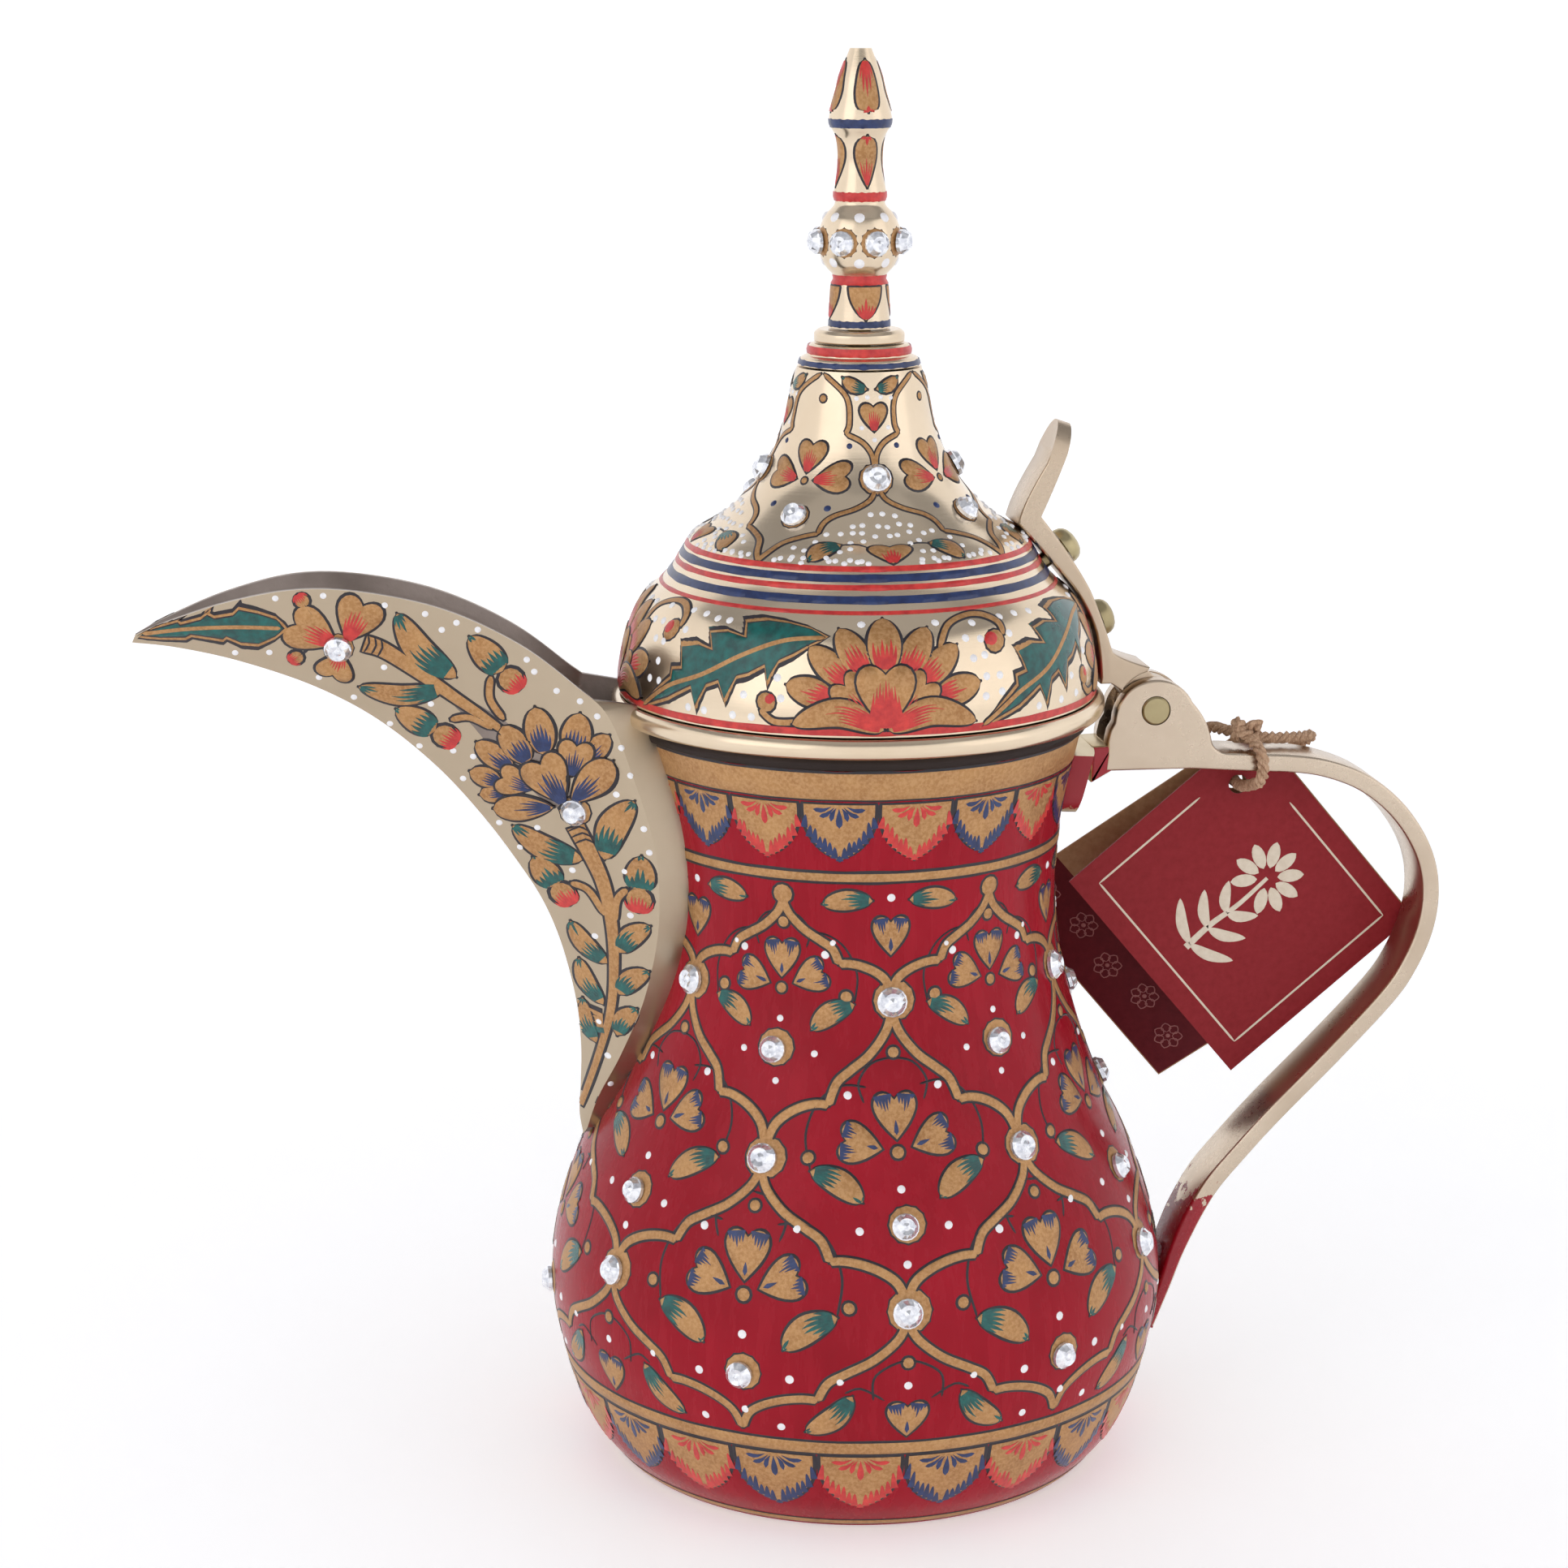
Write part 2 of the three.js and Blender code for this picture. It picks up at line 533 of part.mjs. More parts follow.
const CROSSING_ANGLES = [30, 90, 150, 210, 270, 330];
const MIDWAY_ANGLES = [0, 60, 120, 240, 300];
stoneRing('body_stone', 1, bodyOuter, 103.5, CROSSING_ANGLES, STONE_RADIUS);
stoneRing('body_stone', 7, bodyOuter, 74.2, MIDWAY_ANGLES, STONE_RADIUS);
stoneRing('body_stone', 12, bodyOuter, 48.2, CROSSING_ANGLES, STONE_RADIUS);
stoneRing('lid_stone', 1, lidOuter, 200.2, [1, 91, 181, 271], 2.75);
stoneRing('lid_stone', 5, lidOuter, 193.4, [50, 140, 230, 320], 2.55);
const ballAngles = Array.from({ length: 8 }, (_, i) => 12.5 + 45 * i);
stoneRing('ball_stone', 1, smooth(SPINDLE_OUTLINE, SPINDLE_STEPS), 243.8, ballAngles, 2.4);

// Two stones on each cheek of the spout, square to the cheek.
const CHEEK_STONES = [{ station: 3.5, share: 0.51 }, { station: 7.95, share: 0.5 }];
[-1, 1].forEach((sideSign, sideIndex) => {
  CHEEK_STONES.forEach(({ station, share }, i) => {
    const low = SPOUT_STATIONS[Math.floor(station)];
    const high = SPOUT_STATIONS[Math.ceil(station)];
    const part = station % 1;
    const [keelX, keelZ, edgeX, half, edgeZ] = low.map((v, k) => THREE.MathUtils.lerp(v, high[k], part));
    const keel = new THREE.Vector3(keelX, 0, keelZ);
    const side = new THREE.Vector3(edgeX - keelX, sideSign * half, edgeZ - keelZ);
    const along = new THREE.Vector3(high[0] - low[0], 0, high[1] - low[1]);
    const outward = new THREE.Vector3().crossVectors(side, along).normalize();
    if (outward.y * sideSign < 0) outward.negate();
    const bulge = 4 * 0.045 * share * (1 - share) * side.length();
    const base = keel.addScaledVector(side, share).addScaledVector(outward, bulge + 0.2);
    addStone(`spout_stone_${sideIndex * 2 + i + 1}`, base, outward, 2.7);
  });
});

// ---- hang tag: folded card with two leaves, hung from one corner by the twine ----
const CARD_THICKNESS = 0.5;
const HOLE = new THREE.Vector3(80.4, 7.6, 132);
const HOLE_RADIUS = 2;
const FOLD_LENGTH = 55;
const FRONT_LEAF = 49.5;         // from the fold
const BACK_LEAF = 66;
const LEAF_OPENING = THREE.MathUtils.degToRad(20);
const TAG_TURN = THREE.MathUtils.degToRad(50);
const HOLE_TO_FOLD = 10.2;
const HOLE_TO_SIDE = 7.7;

function makeHangTag() {
  // Drawn with the fold along X at the top, the leaves hanging to -Z, the back leaf towards +Y.
  const t = CARD_THICKNESS;
  const [c, s] = [Math.cos(LEAF_OPENING), Math.sin(LEAF_OPENING)];
  const section = outline([
    [0, 0], [2 * t, 0], [2 * t + BACK_LEAF * s, -BACK_LEAF * c],
    [t + BACK_LEAF * s, -BACK_LEAF * c - t * s], [1.5 * t, -2], [t, -2], [t, -FRONT_LEAF], [0, -FRONT_LEAF],
  ]);
  // Section (x, y) becomes (y, z), and the depth runs along X.
  const card = new THREE.ExtrudeGeometry(section, { depth: FOLD_LENGTH, bevelEnabled: false });
  card.applyMatrix4(new THREE.Matrix4().makeBasis(
    new THREE.Vector3(0, 1, 0), new THREE.Vector3(0, 0, 1), new THREE.Vector3(1, 0, 0),
  ));
  const hole = new THREE.CylinderGeometry(HOLE_RADIUS, HOLE_RADIUS, 20, 14)
    .translate(HOLE_TO_SIDE, 4, -HOLE_TO_FOLD);
  const node = add('hang_tag', solid(card).subtract(solid(hole)), CARD);
  node.geometry.translate(-HOLE_TO_SIDE, -t / 2, HOLE_TO_FOLD);
  node.rotation.y = TAG_TURN;
  node.position.copy(HOLE);
}
makeHangTag();

// ---- twine: jute tied over the strap and through the tag ----
const TWINE_RADIUS = 1.25;
const KNOT = new THREE.Vector3(79, -1, 144.6);
const KNOT_RADIUS = 2.9;
const STRANDS = [
  // down the strap's near side, under it and through the tag's hole
  [[79, -2, 144], [80.4, -6.6, 142.6], [81, -8.3, 139.4], [81, -6.6, 136], [80.8, -1.6, 134], [80.4, 5, 132.2],
    [80.4, 10, 132], [80.4, 14.8, 132.4]],
  // over the strap to the left and down behind the card
  [[79, 0, 144], [76, 3.4, 144.4], [74, 7.8, 144], [72, 11.4, 141], [75, 14.8, 136.4], [81, 14.9, 132.6]],
  // along the strap's top to the right and down behind the card
  [[79, 0, 144], [85, 1.6, 142.9], [91.6, 4.4, 142.2], [95.6, 8.2, 141.4], [93, 12.6, 138], [86.6, 15, 134.4],
    [79.8, 14.9, 132.6]],
];

function makeTwine() {
  const section = new THREE.Shape();
  section.absarc(0, 0, TWINE_RADIUS, 0, Math.PI * 2, false);
  const knot = new THREE.IcosahedronGeometry(KNOT_RADIUS, 1).translate(KNOT.x, KNOT.y, KNOT.z);
  let twine = solid(knot);
  for (const route of STRANDS) {
    const path = new THREE.CatmullRomCurve3(route.map((p) => new THREE.Vector3(...p)));
    const options = { steps: 2 * route.length, bevelEnabled: false, extrudePath: path, curveSegments: 4 };
    twine = twine.add(solid(new THREE.ExtrudeGeometry(section, options)));
  }
  return twine.subtract(flat(strapShape(STRAP_THICKNESS + 2 * GAP), STRAP_WIDTH + 2 * GAP));
}
add('twine', makeTwine(), JUTE);

export default pot;
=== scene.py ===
"""The looks of a painted brass coffee pot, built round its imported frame.

Lengths are in millimetres until make(), and angles are in degrees round the pot's axis.
"""

import math
import random
from bisect import bisect_right

import bmesh
import bpy
from mathutils import Matrix, Vector
from mathutils.bvhtree import BVHTree


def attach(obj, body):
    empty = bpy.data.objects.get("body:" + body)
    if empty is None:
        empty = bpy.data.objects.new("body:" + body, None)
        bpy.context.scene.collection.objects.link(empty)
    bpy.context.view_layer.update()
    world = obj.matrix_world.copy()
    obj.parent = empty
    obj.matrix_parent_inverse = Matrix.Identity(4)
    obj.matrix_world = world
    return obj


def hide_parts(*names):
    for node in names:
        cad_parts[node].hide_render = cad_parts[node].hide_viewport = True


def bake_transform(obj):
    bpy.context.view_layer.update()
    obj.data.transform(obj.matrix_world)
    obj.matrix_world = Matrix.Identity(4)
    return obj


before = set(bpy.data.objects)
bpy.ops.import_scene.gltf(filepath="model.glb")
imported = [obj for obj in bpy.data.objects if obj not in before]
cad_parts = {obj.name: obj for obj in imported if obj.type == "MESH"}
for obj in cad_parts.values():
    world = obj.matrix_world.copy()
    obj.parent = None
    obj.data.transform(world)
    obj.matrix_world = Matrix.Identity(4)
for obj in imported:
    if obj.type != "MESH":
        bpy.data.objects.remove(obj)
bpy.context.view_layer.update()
MM = 0.001
random.seed(7)
scene = bpy.context.scene
scene.view_settings.view_transform = "Standard"

# ---- camera ----
CAMERA_AT = Vector((-111.1, -663.9, 295.8))
TURN = math.radians(9.5)
PITCH = math.radians(13.32)
YAW = math.radians(1.239)
HALF_FRAME, FOCAL_LENGTH = 966, 4276          # pixels of the photograph


def add_camera():
    side = -math.sin(YAW) * math.cos(PITCH)
    ahead = math.cos(YAW) * math.cos(PITCH)
    forward = Vector((side * math.cos(TURN) + ahead * math.sin(TURN),
                      -side * math.sin(TURN) + ahead * math.cos(TURN), -math.sin(PITCH)))
    data = bpy.data.cameras.new("camera")
    data.angle = 2 * math.atan(HALF_FRAME / FOCAL_LENGTH)
    data.clip_start = 0.01
    camera = bpy.data.objects.new("camera", data)
    camera.location = CAMERA_AT * MM
    camera.rotation_euler = forward.to_track_quat("-Z", "Y").to_euler()
    scene.collection.objects.link(camera)
    scene.camera = camera


add_camera()

# ---- dimensions shared with the frame ----
GAP = 0.3
CUT_GAP = 0.12                   # left round a wall or a pin by the shapes that cut pieces to it
WALL = 1.4
LIP_RADIUS = 44
BODY_TOP = 149.2
MOUTH_RADIUS = 42.8
MOUTH_RING_RADIUS = 45.6
RIM_RADIUS = 48.8
COLLAR_RADIUS = 41.4
RIM_BOTTOM = 152.2
RIM_TOP = 156
LID_TOP = 219.8
TOP = 280
STRAP_HALF = 6.3
STRAP_THICKNESS = 3.6
PIN = (59.2, 150.9)
PIN_RADIUS = 2.85
EAR_INNER = 3.1
STONE_RADIUS = 2.9
STONE_HEIGHT = 2
NEAR_LOTUS, NEAR_FRAME = 267, 271 # angles of the lid's lotus and framed motif that face the camera
PAD = 0.35                       # the stones stand this far off the wall, on their painted roundels

BODY_OUTLINE = [
    (49.3, 0), (54.4, 6), (57.4, 12.5), (59.9, 21), (61.8, 30.5), (62, 39), (60.2, 49.5), (55.6, 62.8),
    (49.3, 76), (44.3, 90), (40.8, 104), (39.6, 116), (40.1, 126.4), (41.2, 135.5), (43.1, 144.4),
    (44.2, BODY_TOP)]
LID_OUTLINE = [
    (47, RIM_TOP + GAP), (46.9, 160), (46.3, 164), (45.4, 168), (43.9, 172), (41.9, 175.3), (38.7, 178.2),
    (36.4, 181), (34.6, 184), (32.3, 187.2), (27.2, 190.4), (23.1, 194), (19.7, 198), (16.5, 204),
    (14.4, 210), (13.2, 216), (12.1, LID_TOP)]
SPINDLE_OUTLINE = [
    (5.95, 227.3), (5.75, 231), (5.5, 235.6), (5, 237), (7, 239.6), (8.1, 243.8), (7, 248.2), (4.9, 250.8),
    (5.1, 252.8), (4.3, 257), (4.2, 260.2), (4.6, 263.2), (6.05, 266.7), (4.7, 272.3), (3.9, 275.3),
    (2.1, TOP)]
SPOUT_STATIONS = [
    (-140.8, 169.1, -140.1, 0.7, 170.7, 0.4), (-132.4, 167.9, -133.8, 3.6, 173.6, 3),
    (-120.6, 164.9, -122.6, 7, 177.6, 8.5), (-106.6, 159.6, -109.4, 9.8, 180.2, 16.5),
    (-94.6, 152.7, -96.4, 11, 179.5, 23.5), (-83.4, 143, -81.6, 11.6, 175.9, 30.5),
    (-74.2, 132.2, -67.6, 12.3, 169, 36), (-66.8, 121.5, -56.8, 13.4, 160.6, 38.5),
    (-62.9, 114.8, -50.9, 15, 154.9, 38.5), (-60.1, 108, -46.4, 17.4, 143, 33.5),
    (-58, 100.6, -42.6, 18.6, 129.5, 28), (-56.4, 92.4, -41.8, 17.8, 114.5, 21.5),
    (-55.8, 84.2, -44.2, 15, 99.3, 15), (-56, 76.6, -48.6, 10.6, 86.1, 9.5),
    (-56.3, 70.6, -52.9, 5.4, 75.5, 5), (-55.6, 66, -54.9, 1.6, 67.7, 1.6)]
STRAP_CENTRE = [
    (66, 140.6), (79.4, 139.6), (88.1, 139), (95.2, 137.7), (102.6, 134.7), (109, 129.8), (113.9, 123.6),
    (116.9, 117), (117.8, 110), (116.8, 103), (114, 96), (109.7, 89.4), (99.1, 77.9), (86.3, 64.9),
    (78.8, 56.6), (73.5, 50.2), (69.6, 43.4), (66.5, 36.2), (64.2, 29.2), (60.8, 19.8)]
TWINE_ROUTES = [
    [(79, -2, 144), (80.4, -6.6, 142.6), (81, -8.3, 139.4), (81, -6.6, 136), (80.8, -1.6, 134),
     (80.4, 5, 132.2), (80.4, 10, 132), (80.4, 14.8, 132.4)],
    [(79, 0, 144), (76, 3.4, 144.4), (74, 7.8, 144), (72, 11.4, 141), (75, 14.8, 136.4), (81, 14.9, 132.6)],
    [(79, 0, 144), (85, 1.6, 142.9), (91.6, 4.4, 142.2), (95.6, 8.2, 141.4), (93, 12.6, 138),
     (86.6, 15, 134.4), (79.8, 14.9, 132.6)]]
KNOT = Vector((79, -1, 144.6))
TWINE_ENDS = [
    [(0, 0, 0.4), (-1.2, -0.6, 2), (-2.4, -1.2, 2.6)], [(0.4, 0, 0.4), (1.6, -1, 1.8), (2.8, -1.8, 1.6)]]


# ---- curves ----
def spline(points, steps):
    """Points along a smooth run through the given ones."""
    points = [Vector(p) for p in points]
    last = len(points) - 1
    run = []
    for k in range(steps + 1):
        t = k / steps * last
        i = min(int(t), last - 1)
        w = t - i
        p0, p1, p2, p3 = (points[min(max(i + d, 0), last)] for d in (-1, 0, 1, 2))
        v0, v1 = (p2 - p0) / 2, (p3 - p1) / 2
        run.append((2 * p1 - 2 * p2 + v0 + v1) * w ** 3 + (3 * p2 - 3 * p1 - 2 * v0 - v1) * w * w
                   + v0 * w + p1)
    return run


def inset(points, distance):
    """An open run moved to its left."""
    moved = []
    for i, p in enumerate(points):
        along = (points[min(i + 1, len(points) - 1)] - points[max(i - 1, 0)]).normalized()
        moved.append(Vector((p.x - along.y * distance, p.y + along.x * distance)))
    return moved


def rounded(loop, radius, steps=3):
    """A closed loop with its corners rounded."""
    out = []
    loop = [Vector(p) for p in loop]
    for i, p in enumerate(loop):
        a, b = loop[i - 1] - p, loop[(i + 1) % len(loop)] - p
        cut = min(radius, a.length * 0.45, b.length * 0.45)
        if cut < 0.05 or a.angle(b) > math.radians(170):
            out.append(p)
            continue
        start, end = p + a.normalized() * cut, p + b.normalized() * cut
        for k in range(steps + 1):
            w = k / steps
            out.append(start * (1 - w) ** 2 + p * 2 * w * (1 - w) + end * w * w)
    return out


def quad_curve(a, b, c, steps):
    """Points after a, on the curve from a to c that leans towards b."""
    a, b, c = Vector(a), Vector(b), Vector(c)
    shares = [k / steps for k in range(1, steps + 1)]
    return [a * (1 - w) ** 2 + b * 2 * w * (1 - w) + c * w ** 2 for w in shares]


def arc(centre, radius, start, end, steps):
    """Points on a circle between two angles, both ends included."""
    angles = [start + (end - start) * k / steps for k in range(steps + 1)]
    return [Vector((centre[0] + radius * math.cos(a), centre[1] + radius * math.sin(a))) for a in angles]


# ---- meshes ----
def make(name, verts, faces, materials, body, slot, nodes=(), sharp=35, indices=None):
    mesh = bpy.data.meshes.new(name)
    mesh.from_pydata([Vector(v) * MM for v in verts], [], faces)
    for material in materials if isinstance(materials, (list, tuple)) else [materials]:
        mesh.materials.append(material)
    if indices:
        mesh.polygons.foreach_set("material_index", indices)
    obj = bpy.data.objects.new(name, mesh)
    scene.collection.objects.link(obj)
    tidy_mesh(mesh, sharp)
    if body:
        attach(obj, body)
    if nodes:
        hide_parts(*nodes)
    return obj


def tidy_mesh(mesh, sharp):
    """Joins doubled points, turns the faces outwards, and shades smooth but for edges over sharp degrees."""
    bm = bmesh.new()
    bm.from_mesh(mesh)
    bmesh.ops.remove_doubles(bm, verts=bm.verts, dist=1e-6)
    bmesh.ops.dissolve_degenerate(bm, edges=bm.edges, dist=1e-6)
    bmesh.ops.recalc_face_normals(bm, faces=bm.faces)
    bm.to_mesh(mesh)
    bm.free()
    if sharp:
        mesh.shade_smooth()
        mesh.set_sharp_from_angle(angle=math.radians(sharp))
    else:
        mesh.shade_flat()


def boolean(obj, shape, operation="DIFFERENCE", sharp=35):
    """Cuts obj with a shape, or keeps what it shares with it."""
    cutter = make("cutter", *shape, (), None, None)
    modifier = obj.modifiers.new("cut", "BOOLEAN")
    modifier.operation = operation
    modifier.solver = "EXACT"
    modifier.object = cutter
    graph = bpy.context.evaluated_depsgraph_get()
    graph.update()
    mesh = bpy.data.meshes.new_from_object(obj.evaluated_get(graph))
    obj.modifiers.clear()
    obj.data = mesh
    bpy.data.objects.remove(cutter)
    tidy_mesh(mesh, sharp)


def lathe(profile, segments=128):
    """A closed profile of (radius, height) turned about the Z axis."""
    verts, faces, rows = [], [], []
    for r, z in profile:
        if r < 1e-4:
            rows.append([len(verts)] * segments)
            verts.append((0, 0, z))
        else:
            rows.append(list(range(len(verts), len(verts) + segments)))
            for k in range(segments):
                a = 2 * math.pi * k / segments
                verts.append((r * math.cos(a), r * math.sin(a), z))
    for i, low in enumerate(rows):
        high = rows[(i + 1) % len(rows)]
        for k in range(segments):
            n = (k + 1) % segments
            corners = list(dict.fromkeys((low[k], low[n], high[n], high[k])))
            if len(corners) > 2:
                faces.append(corners)
    return verts, faces


def tube(rings, count, start=0):
    """The faces between neighbouring rings of count points each."""
    return [(start + r * count + i, start + r * count + (i + 1) % count,
             start + (r + 1) * count + (i + 1) % count, start + (r + 1) * count + i)
            for r in range(rings - 1) for i in range(count)]


def closed_tube(rings, count):
    """A tube with a flat face over each end."""
    first, final = reversed(range(count)), range((rings - 1) * count, rings * count)
    return [*tube(rings, count), tuple(first), tuple(final)]


def rod(radius, half, segments):
    return lathe([(0, -half), (radius, -half), (radius, half), (0, half)], segments)


def plate(outline, half, edge=0.5, steps=3):
    """A flat outline in XZ, half wide each side of the middle plane, with rounded edges."""
    loop = [Vector(p) for p in outline]
    if sum(a.x * b.y - b.x * a.y for a, b in zip(loop, loop[1:] + loop[:1])) < 0:
        loop.reverse()
    count = len(loop)
    inward = []
    for i, p in enumerate(loop):
        along = (loop[(i + 1) % count] - loop[i - 1]).normalized()
        inward.append(Vector((-along.y, along.x)))
    rings = []
    for k in range(steps + 1):
        a = math.pi / 2 * k / steps
        rings.append((edge * (1 - math.sin(a)), -half + edge * (1 - math.cos(a))))
    rings += [(depth, -y) for depth, y in reversed(rings)]
    verts = []
    for depth, y in rings:
        verts += [((p + n * depth).x, y, (p + n * depth).y) for p, n in zip(loop, inward)]
    return verts, closed_tube(len(rings), count)


def merged(*shapes):
    verts, faces = [], []
    for v, f in shapes:
        faces += [tuple(i + len(verts) for i in face) for face in f]
        verts += list(v)
    return verts, faces


def placing(x, y, z, angle, axis):
    """The matrix of a turn in degrees about an axis, and then a move."""
    return Matrix.Translation((x, y, z)) @ Matrix.Rotation(math.radians(angle), 4, axis)


def moved(shape, matrix):
    return [matrix @ Vector(v) for v in shape[0]], shape[1]


# ---- materials ----
class Look:
    """A principled material with a few procedural layers in object space."""

    def __init__(self, name, roughness, metallic=0, coat=0, coat_roughness=0.1):
        self.material = bpy.data.materials.new(name)
        self.material.use_nodes = True
        self.tree = self.material.node_tree
        self.shader = self.tree.nodes["Principled BSDF"]
        for socket, value in (("Roughness", roughness), ("Metallic", metallic), ("Coat Weight", coat),
                              ("Coat Roughness", coat_roughness)):
            self.shader.inputs[socket].default_value = value
        self.place = self.tree.nodes.new("ShaderNodeTexCoord").outputs["Object"]

    def link(self, a, b):
        self.tree.links.new(a, b)

    def noise(self, scale, stretch=(1, 1, 1), detail=4, roughness=0.6):
        mapping = self.tree.nodes.new("ShaderNodeMapping")
        mapping.inputs["Scale"].default_value = stretch
        self.link(self.place, mapping.inputs["Vector"])
        node = self.tree.nodes.new("ShaderNodeTexNoise")
        node.inputs["Scale"].default_value = scale
        node.inputs["Detail"].default_value = detail
        node.inputs["Roughness"].default_value = roughness
        self.link(mapping.outputs["Vector"], node.inputs["Vector"])
        return node.outputs["Fac"]

    def ramp(self, source, *stops):
        """Stops are (position, colour) or (position, number)."""
        node = self.tree.nodes.new("ShaderNodeValToRGB")
        elements = node.color_ramp.elements
        while len(elements) < len(stops):
            elements.new(0.5)
        for element, (at, value) in zip(elements, stops):
            element.position = at
            element.color = (value, value, value, 1) if isinstance(value, (int, float)) else (*value, 1)
        self.link(source, node.inputs["Fac"])
        return node.outputs["Color"]

    def mix(self, share, a, b):
        node = self.tree.nodes.new("ShaderNodeMix")
        node.data_type = "RGBA"
        for source, socket in ((share, node.inputs["Factor"]), (a, node.inputs["A"]), (b, node.inputs["B"])):
            if isinstance(source, tuple):
                socket.default_value = (*source, 1)
            else:
                self.link(source, socket)
        return node.outputs["Result"]

    def math(self, operation, a, b=None, clamp=False):
        node = self.tree.nodes.new("ShaderNodeMath")
        node.operation = operation
        node.use_clamp = clamp
        for value, socket in ((a, node.inputs[0]), (b, node.inputs[1])):
            if isinstance(value, (int, float)):
                socket.default_value = value
            elif value is not None:
                self.link(value, socket)
        return node.outputs["Value"]

    def axis(self, source, name):
        node = self.tree.nodes.new("ShaderNodeSeparateXYZ")
        self.link(source, node.inputs["Vector"])
        return node.outputs[name]

    def normal(self):
        return self.tree.nodes.new("ShaderNodeNewGeometry").outputs["Normal"]

    def color(self, source):
        self.link(source, self.shader.inputs["Base Color"])

    def rough(self, source):
        self.link(source, self.shader.inputs["Roughness"])

    def metal(self, source):
        self.link(source, self.shader.inputs["Metallic"])

    def bump(self, source, distance, strength=1):
        node = self.tree.nodes.new("ShaderNodeBump")
        node.inputs["Distance"].default_value = distance * MM
        node.inputs["Strength"].default_value = strength
        self.link(source, node.inputs["Height"])
        self.link(node.outputs["Normal"], self.shader.inputs["Normal"])


def lacquer():
    look = Look("red_lacquer", 0.24, coat=0.05, coat_roughness=0.07)
    look.shader.inputs["Specular IOR Level"].default_value = 0.13
    streaks = look.noise(420, (1, 1, 0.09), 5)
    cloud = look.noise(28)
    base = look.ramp(cloud, (0.3, (0.255, 0.003, 0.011)), (0.7, (0.355, 0.006, 0.019)))
    look.color(look.mix(look.ramp(streaks, (0.45, 0), (0.72, 0.35)), base, (0.42, 0.016, 0.03)))
    look.rough(look.ramp(streaks, (0.3, 0.18), (0.75, 0.36)))
    look.bump(streaks, 0.05, 0.35)
    return look.material


def gold_paint():
    look = Look("gold_paint", 0.42, metallic=0.45)
    speckle = look.noise(1500, detail=3)
    cloud = look.noise(160)
    tone = look.ramp(cloud, (0.3, (0.34, 0.158, 0.053)), (0.7, (0.47, 0.245, 0.09)))
    look.color(look.mix(look.ramp(speckle, (0.4, 0), (0.62, 0.55)), tone, (0.62, 0.37, 0.175)))
    look.rough(look.ramp(speckle, (0.35, 0.36), (0.65, 0.55)))
    look.bump(speckle, 0.04, 0.5)
    return look.material


def enamel(name, dark, light, roughness=0.33):
    look = Look(name, roughness, coat=0.15)
    look.color(look.ramp(look.noise(500, detail=3), (0.35, dark), (0.7, light)))
    look.bump(look.noise(900, detail=2), 0.02, 0.3)
    return look.material


def brass(name, light, dark, roughness, turned=False, stain=0.35, bump=0.006):
    """Brass with a fine polish, faint stains and, where turned, the lines of the lathe."""
    look = Look(name, roughness, metallic=1)
    stretch = (0.02, 0.02, 1) if turned else (1, 1, 1)
    lines = look.noise(2600 if turned else 900, stretch, 3)
    cloud = look.noise(38, detail=5)
    shade = look.math("MULTIPLY", look.ramp(cloud, (0.38, 0), (0.72, 1)), stain)
    look.color(look.mix(shade, light, dark))
    spread = look.math("MULTIPLY", lines, 0.12)
    least = look.math("ADD", spread, roughness - 0.06)
    look.rough(look.math("ADD", least, look.math("MULTIPLY", shade, 0.14)))
    look.bump(lines, bump)
    return look


def painted_over(look, mask):
    """Red lacquer over part of a brass look, ragged at its edge."""
    source = look.shader.inputs["Base Color"].links[0].from_socket
    look.color(look.mix(mask, source, (0.33, 0.006, 0.016)))
    look.metal(look.math("SUBTRACT", 1, mask, clamp=True))


def crystal():
    look = Look("crystal", 0.07, metallic=0.72, coat=0.5, coat_roughness=0.02)
    look.color(look.ramp(look.noise(900, detail=2), (0.35, (0.62, 0.64, 0.7)), (0.6, (0.93, 0.94, 0.97))))
    return look.material


def jute():
    look = Look("jute", 0.85)
    fibres = look.noise(2600, (1, 1, 0.35), 4, 0.7)
    look.color(look.ramp(fibres, (0.3, (0.27, 0.15, 0.09)), (0.5, (0.5, 0.31, 0.19)),
                         (0.75, (0.72, 0.51, 0.36))))
    look.bump(fibres, 0.25, 0.8)
    return look.material


def card(name, dark, light, roughness=0.5):
    look = Look(name, roughness)
    look.shader.inputs["Specular IOR Level"].default_value = 0.2
    look.color(look.ramp(look.noise(700, detail=5), (0.3, dark), (0.7, light)))
    look.bump(look.noise(1400, detail=3), 0.02, 0.4)
    return look.material


RED = lacquer()
GOLD = gold_paint()
BLACK = enamel("black_line", (0.006, 0.004, 0.008), (0.014, 0.008, 0.016), 0.5)
BLUE = enamel("blue_paint", (0.006, 0.016, 0.075), (0.014, 0.036, 0.14))
GREEN = enamel("green_paint", (0, 0.052, 0.048), (0, 0.125, 0.108), 0.22)
SCARLET = enamel("scarlet_paint", (0.46, 0.014, 0.016), (0.68, 0.04, 0.03))
WHITE = enamel("white_dots", (0.82, 0.8, 0.82), (0.94, 0.93, 0.94), 0.4)
CRYSTAL = crystal()
JUTE = jute()
POLISHED = brass("polished_brass", (0.78, 0.645, 0.48), (0.58, 0.435, 0.285), 0.19, turned=True).material
CHEEK = brass("spout_brass", (0.5, 0.405, 0.295), (0.42, 0.33, 0.23), 0.32).material
CHANNEL = brass("channel_brass", (0.32, 0.265, 0.235), (0.2, 0.162, 0.14), 0.42,
                stain=0.9, bump=0.05).material
TURNED = brass("turned_brass", (0.62, 0.48, 0.26), (0.3, 0.21, 0.11), 0.34, turned=True, stain=0.7).material
